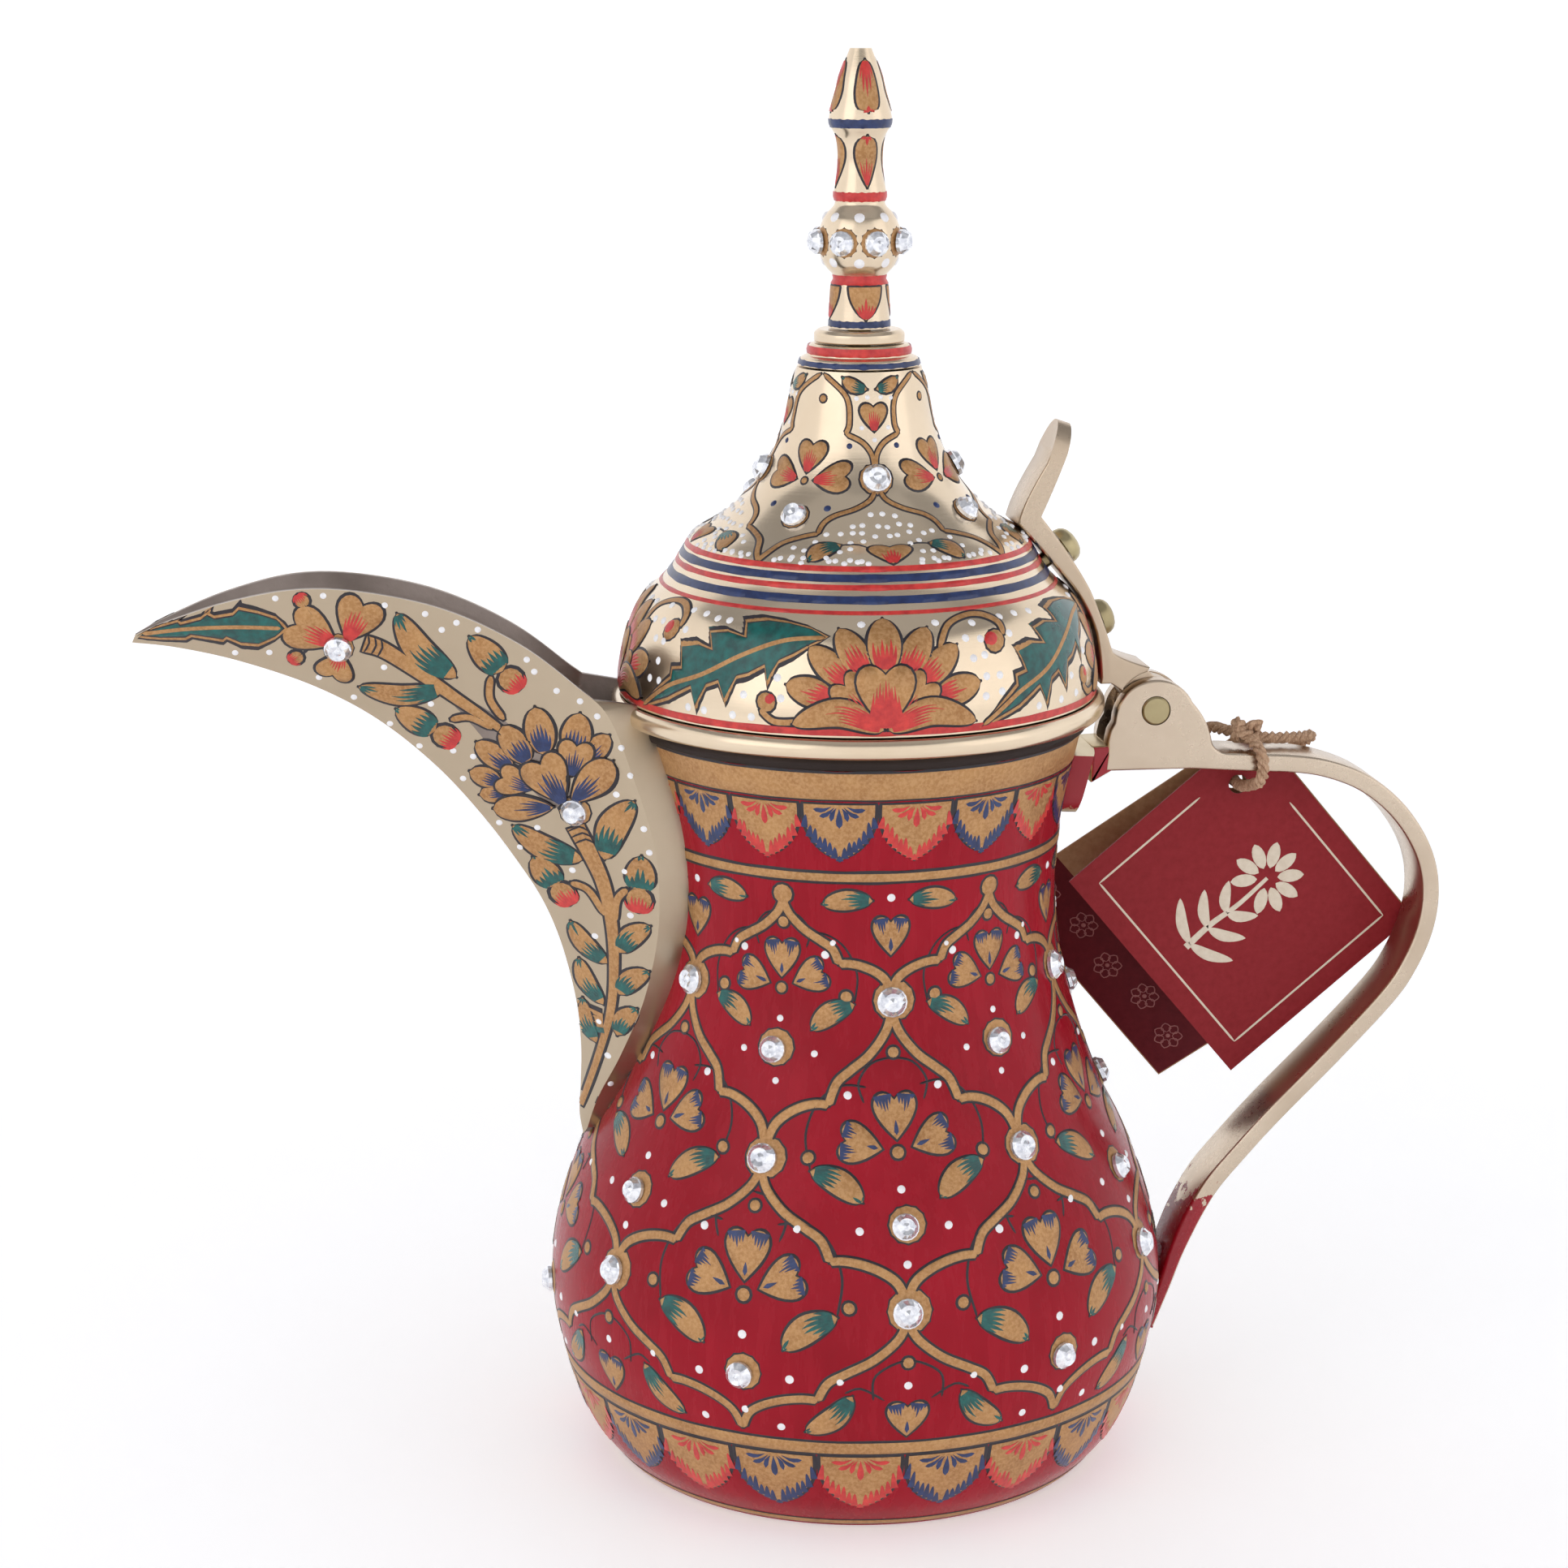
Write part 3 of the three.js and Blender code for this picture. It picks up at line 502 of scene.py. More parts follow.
RIVET = brass("rivet_brass", (0.5, 0.42, 0.24), (0.24, 0.18, 0.09), 0.3, stain=0.9, bump=0.03).material
# Near-black brass for the mouth ring: a painted shadow for the groove under the lid's overhanging rim band.
SHADED = brass("shadow_painted_brass", (0.05, 0.038, 0.034), (0.02, 0.016, 0.018), 0.5).material
LINING = brass("tinned_lining", (0.7, 0.67, 0.62), (0.46, 0.42, 0.36), 0.34, turned=True, stain=0.7).material
ARM_BRASS = brass("arm_brass", (0.57, 0.455, 0.34), (0.41, 0.305, 0.205), 0.27,
                  stain=0.5, bump=0.012).material


def handle_brass():
    look = brass("handle_brass", (0.63, 0.52, 0.405), (0.45, 0.34, 0.24), 0.26, stain=0.5, bump=0.012)
    ragged = look.math("MULTIPLY", look.math("SUBTRACT", look.noise(330, detail=5), 0.5), 0.03)
    height = look.math("ADD", look.axis(look.place, "Z"), ragged)
    low = look.math("LESS_THAN", height, 0.047)
    outer = look.math("LESS_THAN", look.axis(look.normal(), "X"), 0.45)
    painted_over(look, look.math("MULTIPLY", low, outer))
    return look.material


def saddle_brass():
    look = brass("saddle_brass", (0.72, 0.6, 0.38), (0.5, 0.37, 0.2), 0.3, stain=0.7, bump=0.012)
    ragged = look.math("MULTIPLY", look.math("SUBTRACT", look.noise(500, detail=5), 0.5), 0.6)
    sideways = look.math("ABSOLUTE", look.axis(look.normal(), "Y"))
    painted_over(look, look.math("GREATER_THAN", look.math("ADD", sideways, ragged), 0.72))
    return look.material


# ---- turned surfaces that carry paint and stones ----
class Turned:
    """A turned surface, measured round its axis in degrees and along its outline in millimetres (s)."""

    def __init__(self, outline, steps=320):
        run = spline(outline, steps)
        self.r = [p.x for p in run]
        self.z = [p.y for p in run]
        self.s = [0]
        for a, b in zip(run, run[1:]):
            self.s.append(self.s[-1] + (b - a).length)

    def s_at(self, z):
        i = min(max(bisect_right(self.z, z) - 1, 0), len(self.z) - 2)
        w = (z - self.z[i]) / (self.z[i + 1] - self.z[i])
        return self.s[i] + w * (self.s[i + 1] - self.s[i])

    def row(self, s):
        i = min(max(bisect_right(self.s, s) - 1, 0), len(self.s) - 2)
        step = self.s[i + 1] - self.s[i]
        w = (s - self.s[i]) / step
        dr, dz = (self.r[i + 1] - self.r[i]) / step, (self.z[i + 1] - self.z[i]) / step
        r = self.r[i] + w * (self.r[i + 1] - self.r[i])
        return r, self.z[i] + w * (self.z[i + 1] - self.z[i]), dr, dz

    def at(self, angle, s, lift):
        r, z, dr, dz = self.row(s)
        r += dz * lift
        a = math.radians(angle)
        return Vector((r * math.cos(a), r * math.sin(a), z - dr * lift))

    def spot(self, angle, z, turn=0, scale=1):
        """Where a motif is drawn: x runs round the surface and y up it, from this angle and height."""
        s0 = self.s_at(z)
        c, d = math.cos(math.radians(turn)) * scale, math.sin(math.radians(turn)) * scale

        def place(x, y, lift):
            s = s0 + d * x + c * y
            return self.at(angle + math.degrees((c * x - d * y) / max(self.row(s)[0], 1)), s, lift)
        return place

    def local(self, angle0, z0, points):
        """Points given as (angle, height) in the coordinates of spot(angle0, z0)."""
        s0 = self.s_at(z0)
        return [(math.radians(a - angle0) * self.row(self.s_at(z))[0], self.s_at(z) - s0) for a, z in points]


BODY = Turned(BODY_OUTLINE)
LID = Turned(LID_OUTLINE)
SPINDLE = Turned(SPINDLE_OUTLINE)


# ---- paint: thin raised strokes and dots laid on a surface ----
STROKE_SECTIONS = {2: [(-1, 0), (0, 1), (1, 0)],
                   6: [(-1, 0), (-0.9, 0.86), (-0.5, 1), (0, 1), (0.5, 1), (0.9, 0.86), (1, 0)]}


class Ink:
    def __init__(self):
        self.verts, self.faces = [], []

    def stroke(self, place, path, half, lift, across=6):
        """A stroke along a 2-D path, half(share) wide each side, flat on top with rounded edges."""
        start = len(self.verts)
        base = EDGE_LIFT if lift <= GOLD_LIFT or across == 6 else lift - 0.04
        section = STROKE_SECTIONS[across]
        last = len(path) - 1
        for i, p in enumerate(path):
            along = (path[min(i + 1, last)] - path[max(i - 1, 0)]).normalized()
            width = max(half(i / last), 0.04)
            for u, share in section:
                x, y = p.x - along.y * width * u, p.y + along.x * width * u
                self.verts.append(place(x, y, base + (lift - base) * share))
        row = across + 1
        for i in range(last):
            for j in range(across):
                a = start + i * row + j
                self.faces.append((a, a + 1, a + 1 + row, a + row))

    def blade(self, place, rib, edge, grow, lift):
        """Half a leaf, from its rib out to a toothed edge, grown outwards by a little."""
        root, reach = rib[0], rib[-1] - rib[0]
        start, share, rows = len(self.verts), 0, 4
        points = []
        for a, b in zip(edge, edge[1:]):
            points += [a.lerp(b, k / 3) for k in range(3)]
        points.append(edge[-1])
        for p in points:
            share = max(share, min(max((p - root).dot(reach) / reach.length_squared, 0), 1))
            at = share * (len(rib) - 1)
            i = min(int(at), len(rib) - 2)
            inner = rib[i].lerp(rib[i + 1], at - i)
            out = p - inner
            p = p + out.normalized() * max(grow, -out.length * 0.9) if out.length > 1e-3 else p
            for k in range(rows + 1):
                q = inner.lerp(p, k / rows)
                self.verts.append(place(q.x, q.y, lift if k < rows else max(EDGE_LIFT, lift - 0.2)))
        for i in range(len(points) - 1):
            for k in range(rows):
                a = start + i * (rows + 1) + k
                self.faces.append((a, a + 1, a + 2 + rows, a + 1 + rows))

    def fan(self, place, centre, outline, grow, lift):
        """A filled outline that is seen whole from its centre."""
        start, count = len(self.verts), len(outline)
        self.verts.append(place(centre.x, centre.y, lift))
        for share in (0.5, 0.94, 1):
            for p in outline:
                out = p - centre
                q = centre + (out + out.normalized() * grow) * share
                self.verts.append(place(q.x, q.y, EDGE_LIFT if share == 1 else lift))
        for j in range(count):
            n = (j + 1) % count
            self.faces.append((start, start + 1 + j, start + 1 + n))
            for k in range(2):
                a, b = start + 1 + k * count, start + 1 + (k + 1) * count
                self.faces.append((a + j, b + j, b + n, a + n))

    def dot(self, place, x, y, radius, lift, sides=12):
        start = len(self.verts)
        self.verts.append(place(x, y, lift))
        rings = 2 if radius < 1.6 else 4
        for k in range(1, rings + 1):
            share = k / rings
            high = EDGE_LIFT + (lift - EDGE_LIFT) * math.sqrt(max(0, 1 - share ** 4))
            for j in range(sides):
                a, reach = 2 * math.pi * j / sides, radius * share
                self.verts.append(place(x + reach * math.cos(a), y + reach * math.sin(a), high))
        for j in range(sides):
            n = (j + 1) % sides
            self.faces.append((start, start + 1 + j, start + 1 + n))
            for k in range(rings - 1):
                a, b = start + 1 + k * sides, start + 1 + (k + 1) * sides
                self.faces.append((a + j, b + j, b + n, a + n))


EDGE_LIFT = -0.04
LINE_LIFT = 0.1
GOLD_LIFT = 0.14
TINT_LIFT = 0.19
DOT = 0.85                       # radius of a white dot
RIM = 0.44                       # width of the black line round a painted shape

INK_COLORS = {"gold": GOLD, "black": BLACK, "blue": BLUE, "green": GREEN, "scarlet": SCARLET, "white": WHITE}
INKS = {body: {color: Ink() for color in INK_COLORS} for body in ("pot", "lid")}


def smooth(points, step=0.8):
    length = sum((Vector(b) - Vector(a)).length for a, b in zip(points, points[1:]))
    return spline(points, max(len(points) - 1, 3, round(length / step)))


def swell(width, peak=0.5, power=0.8):
    """Half width of a leaf-like stroke, widest at its peak."""
    bend = math.log(0.5) / math.log(peak)
    return lambda t: width * math.sin(math.pi * min(max(t, 0), 1) ** bend) ** power if 0 < t < 1 else 0


def even(width, fade=0.04):
    return lambda t: width * min(1, 0.35 + min(t, 1 - t) / fade)


def flip(side, *points):
    return [(side * x, y) for x, y in points]


def raised(place, steps):
    """The same place on a higher level, for a motif that overlaps another."""
    return lambda x, y, lift: place(x, y, lift + 0.13 * steps if lift > 0 else lift)


GREEN_ENDS = (("green", 0.1, 0.56, 6), ("green", 0.97, 0.82, 4))


def between(root, tip):
    root, tip = Vector(root), Vector(tip)
    return [root, root.lerp(tip, 0.5), tip]


class Brush:
    """Draws motifs on one body with its inks, and keeps where they are as (point, reach)."""

    def __init__(self, body):
        self.ink = INKS[body]
        self.drawn = []

    def shape(self, place, points, half, rim=RIM):
        """A gold stroke with a black line round it."""
        path = smooth(points)
        first = path[0] + (path[0] - path[1]).normalized() * rim
        final = path[-1] + (path[-1] - path[-2]).normalized() * rim
        count = len(path) + 1

        def wide(t):
            return half(min(max((t * count - 1) / (count - 2), 0), 1)) + rim * min(1, 0.5 + 6 * min(t, 1 - t))
        self.ink["black"].stroke(place, [first, *path, final], wide, LINE_LIFT)
        self.ink["gold"].stroke(place, path, half, GOLD_LIFT)
        self.drawn += [(place(p.x, p.y, 0), half(i / (len(path) - 1))) for i, p in enumerate(path)]

    def line(self, place, points, width=0.3, lift=GOLD_LIFT):
        self.ink["black"].stroke(place, smooth(points, 1), even(width), lift, 2)

    def spot(self, place, x, y, radius=DOT, color="white", rim=0, lift=GOLD_LIFT):
        if rim:
            self.ink["black"].dot(place, x, y, radius + rim, LINE_LIFT)
        self.ink[color].dot(place, x, y, radius, lift + 0.12 * min(radius, 1.2))
        self.drawn.append((place(x, y, 0), radius))

    def fringe(self, place, points, half, color, start=0.97, end=0.42, count=6, cover=0.84):
        """Brush hairs that fill a shape from one end of its path and thin out towards the other."""
        path = smooth(points)
        last = len(path) - 1
        for k in range(count):
            u = 2 * k / (count - 1) - 1
            stop = end + (0.16 * abs(u) + random.uniform(-0.09, 0.09)) * (1 if end < start else -1)
            steps = max(4, round(abs(start - stop) * last))
            run, widths = [], []
            for i in range(steps + 1):
                t = start + (stop - start) * i / steps
                at = min(max(t, 0), 1) * last
                j = min(int(at), last - 1)
                p = path[j].lerp(path[j + 1], at - j)
                along = (path[min(j + 1, last)] - path[max(j - 1, 0)]).normalized()
                reach = half(t) * cover
                run.append(Vector((p.x - along.y * reach * u, p.y + along.x * reach * u)))
                widths.append(max(reach * 1.5 / count, 0.12) * (1 - (i / steps) ** 2.2))
            self.ink[color].stroke(place, run, lambda w: widths[min(round(w * steps), steps)], TINT_LIFT, 2)

    def clear(self, point, gap):
        """Whether a point is further than a gap from everything drawn so far."""
        return all((point - other).length > reach + gap for other, reach in self.drawn)

    def petal(self, place, points, half, *fringes):
        self.shape(place, points, half)
        for fringe in fringes:
            self.fringe(place, points, half, *fringe)

    def leaf(self, place, root, tip, width, bend, peak=0.52, power=0.75, fringes=GREEN_ENDS):
        root, tip = Vector(root), Vector(tip)
        along = tip - root
        middle = root + along * 0.5 + Vector((-along.y, along.x)) * bend
        self.petal(place, [root, middle, tip], swell(width, peak, power), *fringes)

    def heart(self, place, point, top, width, color="blue", from_root=False):
        """A heart-shaped petal on its point, tinted at its lobes or from its point."""
        point, top = Vector(point), Vector(top)
        along = top - point
        across = Vector((along.y, -along.x)).normalized() * width
        side = spline([Vector(p) for p in HEART_SIDE], 13)
        local = side + [Vector((-p.x, p.y)) for p in reversed(side[1:-1])]
        outline = [point + across * p.x + along * p.y for p in local]
        centre = point + along * 0.56
        self.ink["black"].fan(place, centre, outline, RIM, LINE_LIFT)
        self.ink["gold"].fan(place, centre, outline, 0, GOLD_LIFT)
        self.drawn.append((place(centre.x, centre.y, 0), max(width, along.length) * 0.5 + RIM))
        if from_root:
            self.fringe(place, [point, point + along],
                        lambda t: 0.42 * width * min(1, 1.5 * t + 0.08) * (1 - 0.5 * t), color, 0.07, 0.66, 7)
        else:
            for k in (-1, 1):
                path = [point + across * 0.28 * k + along * 0.97, point + across * 0.2 * k + along * 0.55,
                        point + along * 0.1]
                self.fringe(place, path, lambda t: 0.2 * width * (1 - 0.6 * t), color, 0.03, 0.42, 5)
            start = point + along * 0.12
            hair = (point + along * 0.9 - start) * (0.4 * random.uniform(0.8, 1.15))
            path = smooth([start, start + hair * 0.5, start + hair])
            self.ink[color].stroke(place, path, swell(0.45, 0.3, 0.9), TINT_LIFT, 2)

    def leaf_cut(self, place, rib, edges):
        """A toothed leaf: green inside a gold edge, with a gold rib."""
        rib = smooth(rib)
        for color, grow, lift in (("black", 0.75, LINE_LIFT), ("gold", 0.38, GOLD_LIFT),
                                  ("black", -0.25, GOLD_LIFT + 0.03), ("green", -0.7, TINT_LIFT + 0.03)):
            for edge in edges:
                self.ink[color].blade(place, rib, [Vector(p) for p in edge], grow, lift)
        self.ink["black"].stroke(place, rib, even(0.62), TINT_LIFT + 0.04, 2)
        self.ink["gold"].stroke(place, rib, even(0.4), TINT_LIFT + 0.09, 2)
        # White dots keep clear of these points.
        for tooth in (Vector(p) for edge in edges for p in edge):
            near = min(rib, key=lambda p: (p - tooth).length)
            for share in (0.1, 0.5, 0.9):
                q = near.lerp(tooth, share)
                self.drawn.append((place(q.x, q.y, 0), 1.6))

    def berry(self, place, centre, toward, radius):
        """A round bud whose far side is scarlet."""
        centre, toward = Vector(centre), Vector(toward)
        self.ink["black"].dot(place, centre.x, centre.y, radius + RIM, LINE_LIFT)
        self.ink["gold"].dot(place, centre.x, centre.y, radius, GOLD_LIFT)
        self.drawn.append((place(centre.x, centre.y, 0), radius))
        away = (centre - toward).normalized() * radius

        def half(t):
            return radius * math.sqrt(max(0.08, 1 - (1 - 1.7 * min(t, 0.58)) ** 2))
        self.fringe(place, [centre + away * 0.95, centre - away * 0.85], half, "scarlet", 0, 0.6, 9, 0.92)


HEART_SIDE = [(0, 0), (0.17, 0.17), (0.35, 0.38), (0.48, 0.6), (0.51, 0.79), (0.43, 0.95), (0.28, 1.01),
              (0.12, 0.97), (0, 0.86)]


# ---- stones ----
def gem(radius):
    """A round foil-backed stone: a bezel, and facets that rise in a star to the middle."""
    sides, height = 16, STONE_HEIGHT
    rows = [(radius, 0, 0), (radius, 0.7, 0), (radius * 0.9, 0.95, 0), (radius * 0.62, height * 0.94, 0.5),
            (radius * 0.3, height * 0.8, 0)]
    verts, faces = [], []
    for r, z, twist in rows:
        for k in range(sides):
            a = 2 * math.pi * (k + twist) / sides
            verts.append((r * math.cos(a), r * math.sin(a), z))
    for row in range(len(rows) - 1):
        low, high = row * sides, (row + 1) * sides
        for k in range(sides):
            n = (k + 1) % sides
            if rows[row + 1][2] > rows[row][2]:
                faces += [(low + k, low + n, high + k), (low + n, high + n, high + k)]
            elif rows[row + 1][2] < rows[row][2]:
                faces += [(low + k, high + n, high + k), (low + k, low + n, high + n)]
            else:
                faces.append((low + k, low + n, high + n, high + k))
    table = (len(rows) - 1) * sides
    verts.append((0, 0, height))
    centre = len(verts) - 1
    faces += [(table + k, table + (k + 1) % sides, centre) for k in range(sides)]
    faces.append(tuple(reversed(range(sides))))
    return verts, faces


def set_stone(place, x, y, radius):
    """A stone square to the surface at a point of it."""
    base = place(x, y, 0)
    up = (place(x, y, 1) - base).normalized()
    turn = up.to_track_quat("Z", "Y").to_matrix().to_4x4()
    return moved(gem(radius), Matrix.Translation(base + up * PAD) @ turn)


def make_stones(name, body, stones, node=None):
    """Stones as one piece, in place of node_1, node_2 and so on."""
    nodes = [f"{node}_{i + 1}" for i in range(len(stones))] if node else ()
    make(name, *merged(*stones), CRYSTAL, body, "crystal", nodes, 0)


# ---- body ----
HOLE_PITCH = 6.4                 # of the holes that the coffee pours through


def build_body():
    outer = spline(BODY_OUTLINE, 140)
    inner = inset(spline(BODY_OUTLINE, 48), WALL)
    inner[0] = Vector((inner[0].x - WALL, WALL))
    inner[-1] = Vector((BODY_OUTLINE[-1][0] - WALL, BODY_TOP))
    profile = [(LIP_RADIUS, 0), *outer, *reversed(inner), (LIP_RADIUS, WALL)]
    verts, faces = lathe(profile, 180)
    inside = [int(i // 180 > len(outer)) for i in range(len(faces))]
    shell = make("body_shell_spun", verts, faces, [RED, LINING], "pot", "red_lacquer", ["body_shell"], 45,
                 inside)
    drills = []
    for row in range(5):
        count = 2 if row % 2 else 3
        for i in range(count):
            y = (i - (count - 1) / 2) * HOLE_PITCH
            drills.append(moved(rod(2.2, 8, 24), placing(-41, y, 97 + row * HOLE_PITCH, 90, "Y")))
    boolean(shell, merged(*drills), sharp=45)
    disc = [*rounded([(0, 0), (43.7, 0), (43.7, WALL), (20, WALL)], 0.3), (0, WALL + 1.2), (0, 0)]
    make("base_disc", *lathe(disc), TURNED, "pot", "turned_brass", ["base_plate"])
    bottom, top = BODY_TOP + GAP, RIM_BOTTOM - GAP
    profile = rounded([(MOUTH_RADIUS, bottom), (45.2, bottom), (MOUTH_RING_RADIUS, (bottom + top) / 2),
                       (45.2, top), (MOUTH_RADIUS, top)], 0.3)
    # The mouth ring is coloured near black as a painted shadow under the lid's overhanging rim band.
    make("mouth_ring_turned", *lathe(profile, 160), SHADED, "pot", "turned_brass", ["mouth_ring"])


LATTICE_ROWS = [123.9, 103.5, 74.2, 48.3, 21.8]
LATTICE_EDGE = [[(0, 0.06), (0.06, 0.19), (0.2, 0.33), (0.36, 0.43), (0.47, 0.51), (0.53, 0.645)],
                [(0.53, 0.645), (0.62, 0.64), (0.74, 0.665), (0.86, 0.72), (0.95, 0.8), (1, 0.93)]]
CELL_LEVELS = [(1, 0.84), (2, 1), (3, 1.08)]      # the row under a cell, and the scale of its flower
BODY_STONES = [(103.5, range(30, 360, 60)), (74.2, (0, 60, 120, 240, 300)), (48.2, range(30, 360, 60))]


# At each row of crossings: the roundel's radius, and where the dots below and beside it are.
CROSSING_DOTS = [(2.1, -5.6, 0), (4.2, -9.6, 8.6), (4.3, -9, 8.8), (4.5, -9.6, 11)]


def row_columns(row):
    return [60 * k + (0 if row % 2 == 0 else 30) for k in range(6)]


def paint_lattice(brush):
    for row in range(len(LATTICE_ROWS) - 1):
        z0, z1 = LATTICE_ROWS[row], LATTICE_ROWS[row + 1]
        for column in row_columns(row):
            for side in (-1, 1):
                for part in LATTICE_EDGE:
                    points = [(column + side * 30 * u, z0 + (z1 - z0) * v) for u, v in part]
                    path = BODY.local(column, z0, points)
                    brush.shape(BODY.spot(column, z0), path, even(0.85, 0.02), 0.42)


def paint_cell(brush, angle, z, scale, dots):
    at = BODY.spot(angle, z, random.uniform(-3, 3), scale)
    for side in (-1, 1):
        brush.line(at, flip(side, (5.2, 12.6), (9.8, 12.9), (14.5, 9.8), (17.4, 3.5), (17, -3.2)))
        brush.line(at, flip(side, (5.8, 9.6), (6.6, 13.4), (4, 17), (0, 18.1)))
        brush.leaf(at, (side * 17, -3.4), (side * 7.6, -9.2), 2.7, bend=-0.1 * side)
        brush.spot(at, side * dots[0], dots[1] + side * 0.5)
        brush.spot(at, side * 8.6, -14.6)
        lean = math.radians(random.uniform(14, 30))
        tip = Vector((side * math.cos(lean), math.sin(lean)))
        brush.heart(at, tip * 2.9, tip * 11.2, 7.9)
    brush.heart(at, (0, 2.2), (0, 11.4), 8.3)
    brush.spot(at, 0, 0, 1.45, "gold", 0.4)
    brush.spot(at, 0, -7)
    brush.spot(at, 0, -21.2)


def paint_petals(brush, surface, count, first, z_top, z_tip, colors):
    """A row of pointed petals that hang from a band, tinted from their tips, with a crest on each."""
    pitch = 360 / count
    s_top, s_tip = surface.s_at(z_top), surface.s_at(z_tip)
    length = s_top - s_tip
    half = math.radians(pitch) * surface.row(s_top)[0] * 0.49
    for k in range(count):
        angle = first + pitch * k
        at = surface.spot(angle, z_top)
        ink = brush.ink[colors[k % 2]]
        brush.shape(at, [(0, -0.1), (0, -length * 0.5), (0, -length + 0.3)],
                    lambda t: half * (1 - min(max(t, 0), 1) ** 3))
        for j in range(15):
            u = (2 * j / 14 - 1) * 0.92
            low = -length * (1 - abs(u)) ** (1 / 3)
            high = min(low + length * random.uniform(0.2, 0.31) * (1 if abs(u) > 0.1 else 0.4), -0.7)
            ink.stroke(at, smooth([(u * half, low + 0.12), (u * half * 0.95, high)], 0.6),
                       lambda t: 0.72 * (1 - t) ** 0.7 + 0.03, TINT_LIFT, 2)
        ink.stroke(at, smooth([(0, -0.9), (0, -length * 0.42)]), swell(0.66, 0.66), TINT_LIFT, 2)
        for side in (-1, 1):
            for path in ([(0.5, -0.8), (1.2, -2), (1.5, -3.6)], [(0.9, -0.7), (2.3, -2.2), (3.6, -2.6)],
                         [(1.4, -0.5), (3, -1.3), (4.7, -1.1)]):
                ink.stroke(at, smooth([(side * x * half / 7, y * length / 12) for x, y in path]),
                           swell(0.5, 0.66), TINT_LIFT, 2)


def ring(brush, surface, z_low, z_high, color="gold", rim=0.3):
    """A painted band all round a turned surface."""
    low, high = surface.s_at(z_low), surface.s_at(z_high)
    middle, half = (low + high) / 2, (high - low) / 2
    layers = [("black", rim, LINE_LIFT)] if rim else []
    for name, extra, height in (*layers, (color, 0, GOLD_LIFT)):
        ink, start, sides = brush.ink[name], len(brush.ink[name].verts), 180
        for j, u in enumerate((-1, -0.9, 0, 0.9, 1)):
            for k in range(sides):
                wave = 0.12 * math.sin(k * 0.7) * math.sin(k * 0.17 + 1) if j in (0, 4) else 0
                s = middle + (half + extra + wave) * u
                ink.verts.append(surface.at(360 * k / sides, s, EDGE_LIFT if j in (0, 4) else height))
        ink.faces += tube(5, sides, start)


def paint_body():
    brush = Brush("pot")
    ring(brush, BODY, 143.3, 149)
    ring(brush, BODY, 126.9, 128.6, rim=0.55)
    ring(brush, BODY, 19.4, 22, rim=0.45)
    ring(brush, BODY, 0.7, 1.9)
    paint_petals(brush, BODY, 18, 256, 142.6, 131, ("blue", "scarlet"))
    paint_petals(brush, BODY, 22, 261.8, 18.8, 6.2, ("scarlet", "blue"))
    paint_lattice(brush)
    cells = []
    for row, scale in CELL_LEVELS:
        for angle in row_columns(row - 1):
            paint_cell(brush, angle, LATTICE_ROWS[row] + 2, scale, (11.8, 10.2) if row == 1 else (8.8, 11.6))
            at = BODY.spot(angle, LATTICE_ROWS[row] + 2)
            x = random.uniform(-1.2, 0.6)
            brush.spot(at, x + 0.5, -14.2 * scale + 0.5, 3.8, "gold", 0.45)
            if angle != 180 or row == 3:     # the spout covers the others
                cells.append(set_stone(at, x, -14.2 * scale, 2.6))
    for column in row_columns(1):
        at = BODY.spot(column, 116.8)
        brush.heart(at, (0, -4.6), (0, 3.2), 7)
        brush.spot(at, 0, 6.9)
        for side in (-1, 1):
            brush.leaf(at, (side * 3.6, 6.4), (side * 13, 5.6), 2.1, bend=0.05 * side)
            brush.spot(at, side * 12.5, -4.4)
        low = BODY.spot(column, 27.9)
        brush.heart(low, (0, -4.8), (0, 3), 8)
        brush.spot(low, 0, 6.4)
        brush.line(low, [(-6.6, 3.6), (-6.2, 8.6), (0, 11.4), (6.2, 8.6), (6.6, 3.6)])
        for side in (-1, 1):
            brush.line(low, flip(side, (4.5, 3.5), (9, 6), (12, 5)))
            brush.leaf(low, (side * 10.6, 4.4), (side * 19.2, -3.8), 2.5, bend=-0.1 * side)
            brush.spot(low, side * 13, 7.4)
            brush.spot(low, side * 24, -3.2)
    for row, (radius, below, beside) in enumerate(CROSSING_DOTS):
        for column in row_columns(row):
            at = BODY.spot(column, LATTICE_ROWS[row])
            brush.spot(at, 0.5 if row else 0, 0.3 if row else 0, radius, "gold", 0.5, GOLD_LIFT + 0.03)
            brush.spot(at, 0, below, 1.3, "gold", 0.38)
            for side in (-1, 1) if row else ():
                brush.spot(at, side * beside, 1, 1.35, "gold", 0.4)
    stones = [set_stone(BODY.spot(a, z), 0, 0, STONE_RADIUS) for z, angles in BODY_STONES for a in angles]
    make_stones("body_stones", "pot", stones, "body_stone")
    make_stones("cell_stones", "pot", cells)


# ---- spout ----
def wall_envelope():
    """What the body, the mouth ring and the shut lid take up, and all inside them."""
    side = [(p.x + CUT_GAP, p.y) for p in spline(BODY_OUTLINE, 60)]
    low, top = MOUTH_RING_RADIUS + CUT_GAP, RIM_RADIUS + CUT_GAP + 0.3
    return lathe([(0, -1), *side, (low, BODY_TOP), (low, RIM_BOTTOM - 0.6), (top, RIM_BOTTOM - 0.6),
                  (top, RIM_TOP + 4), (0, RIM_TOP + 4)], 160)


SPOUT_WALL = 1.7
SPOUT_BULGE = 0.045
CHEEK_STEPS = 14


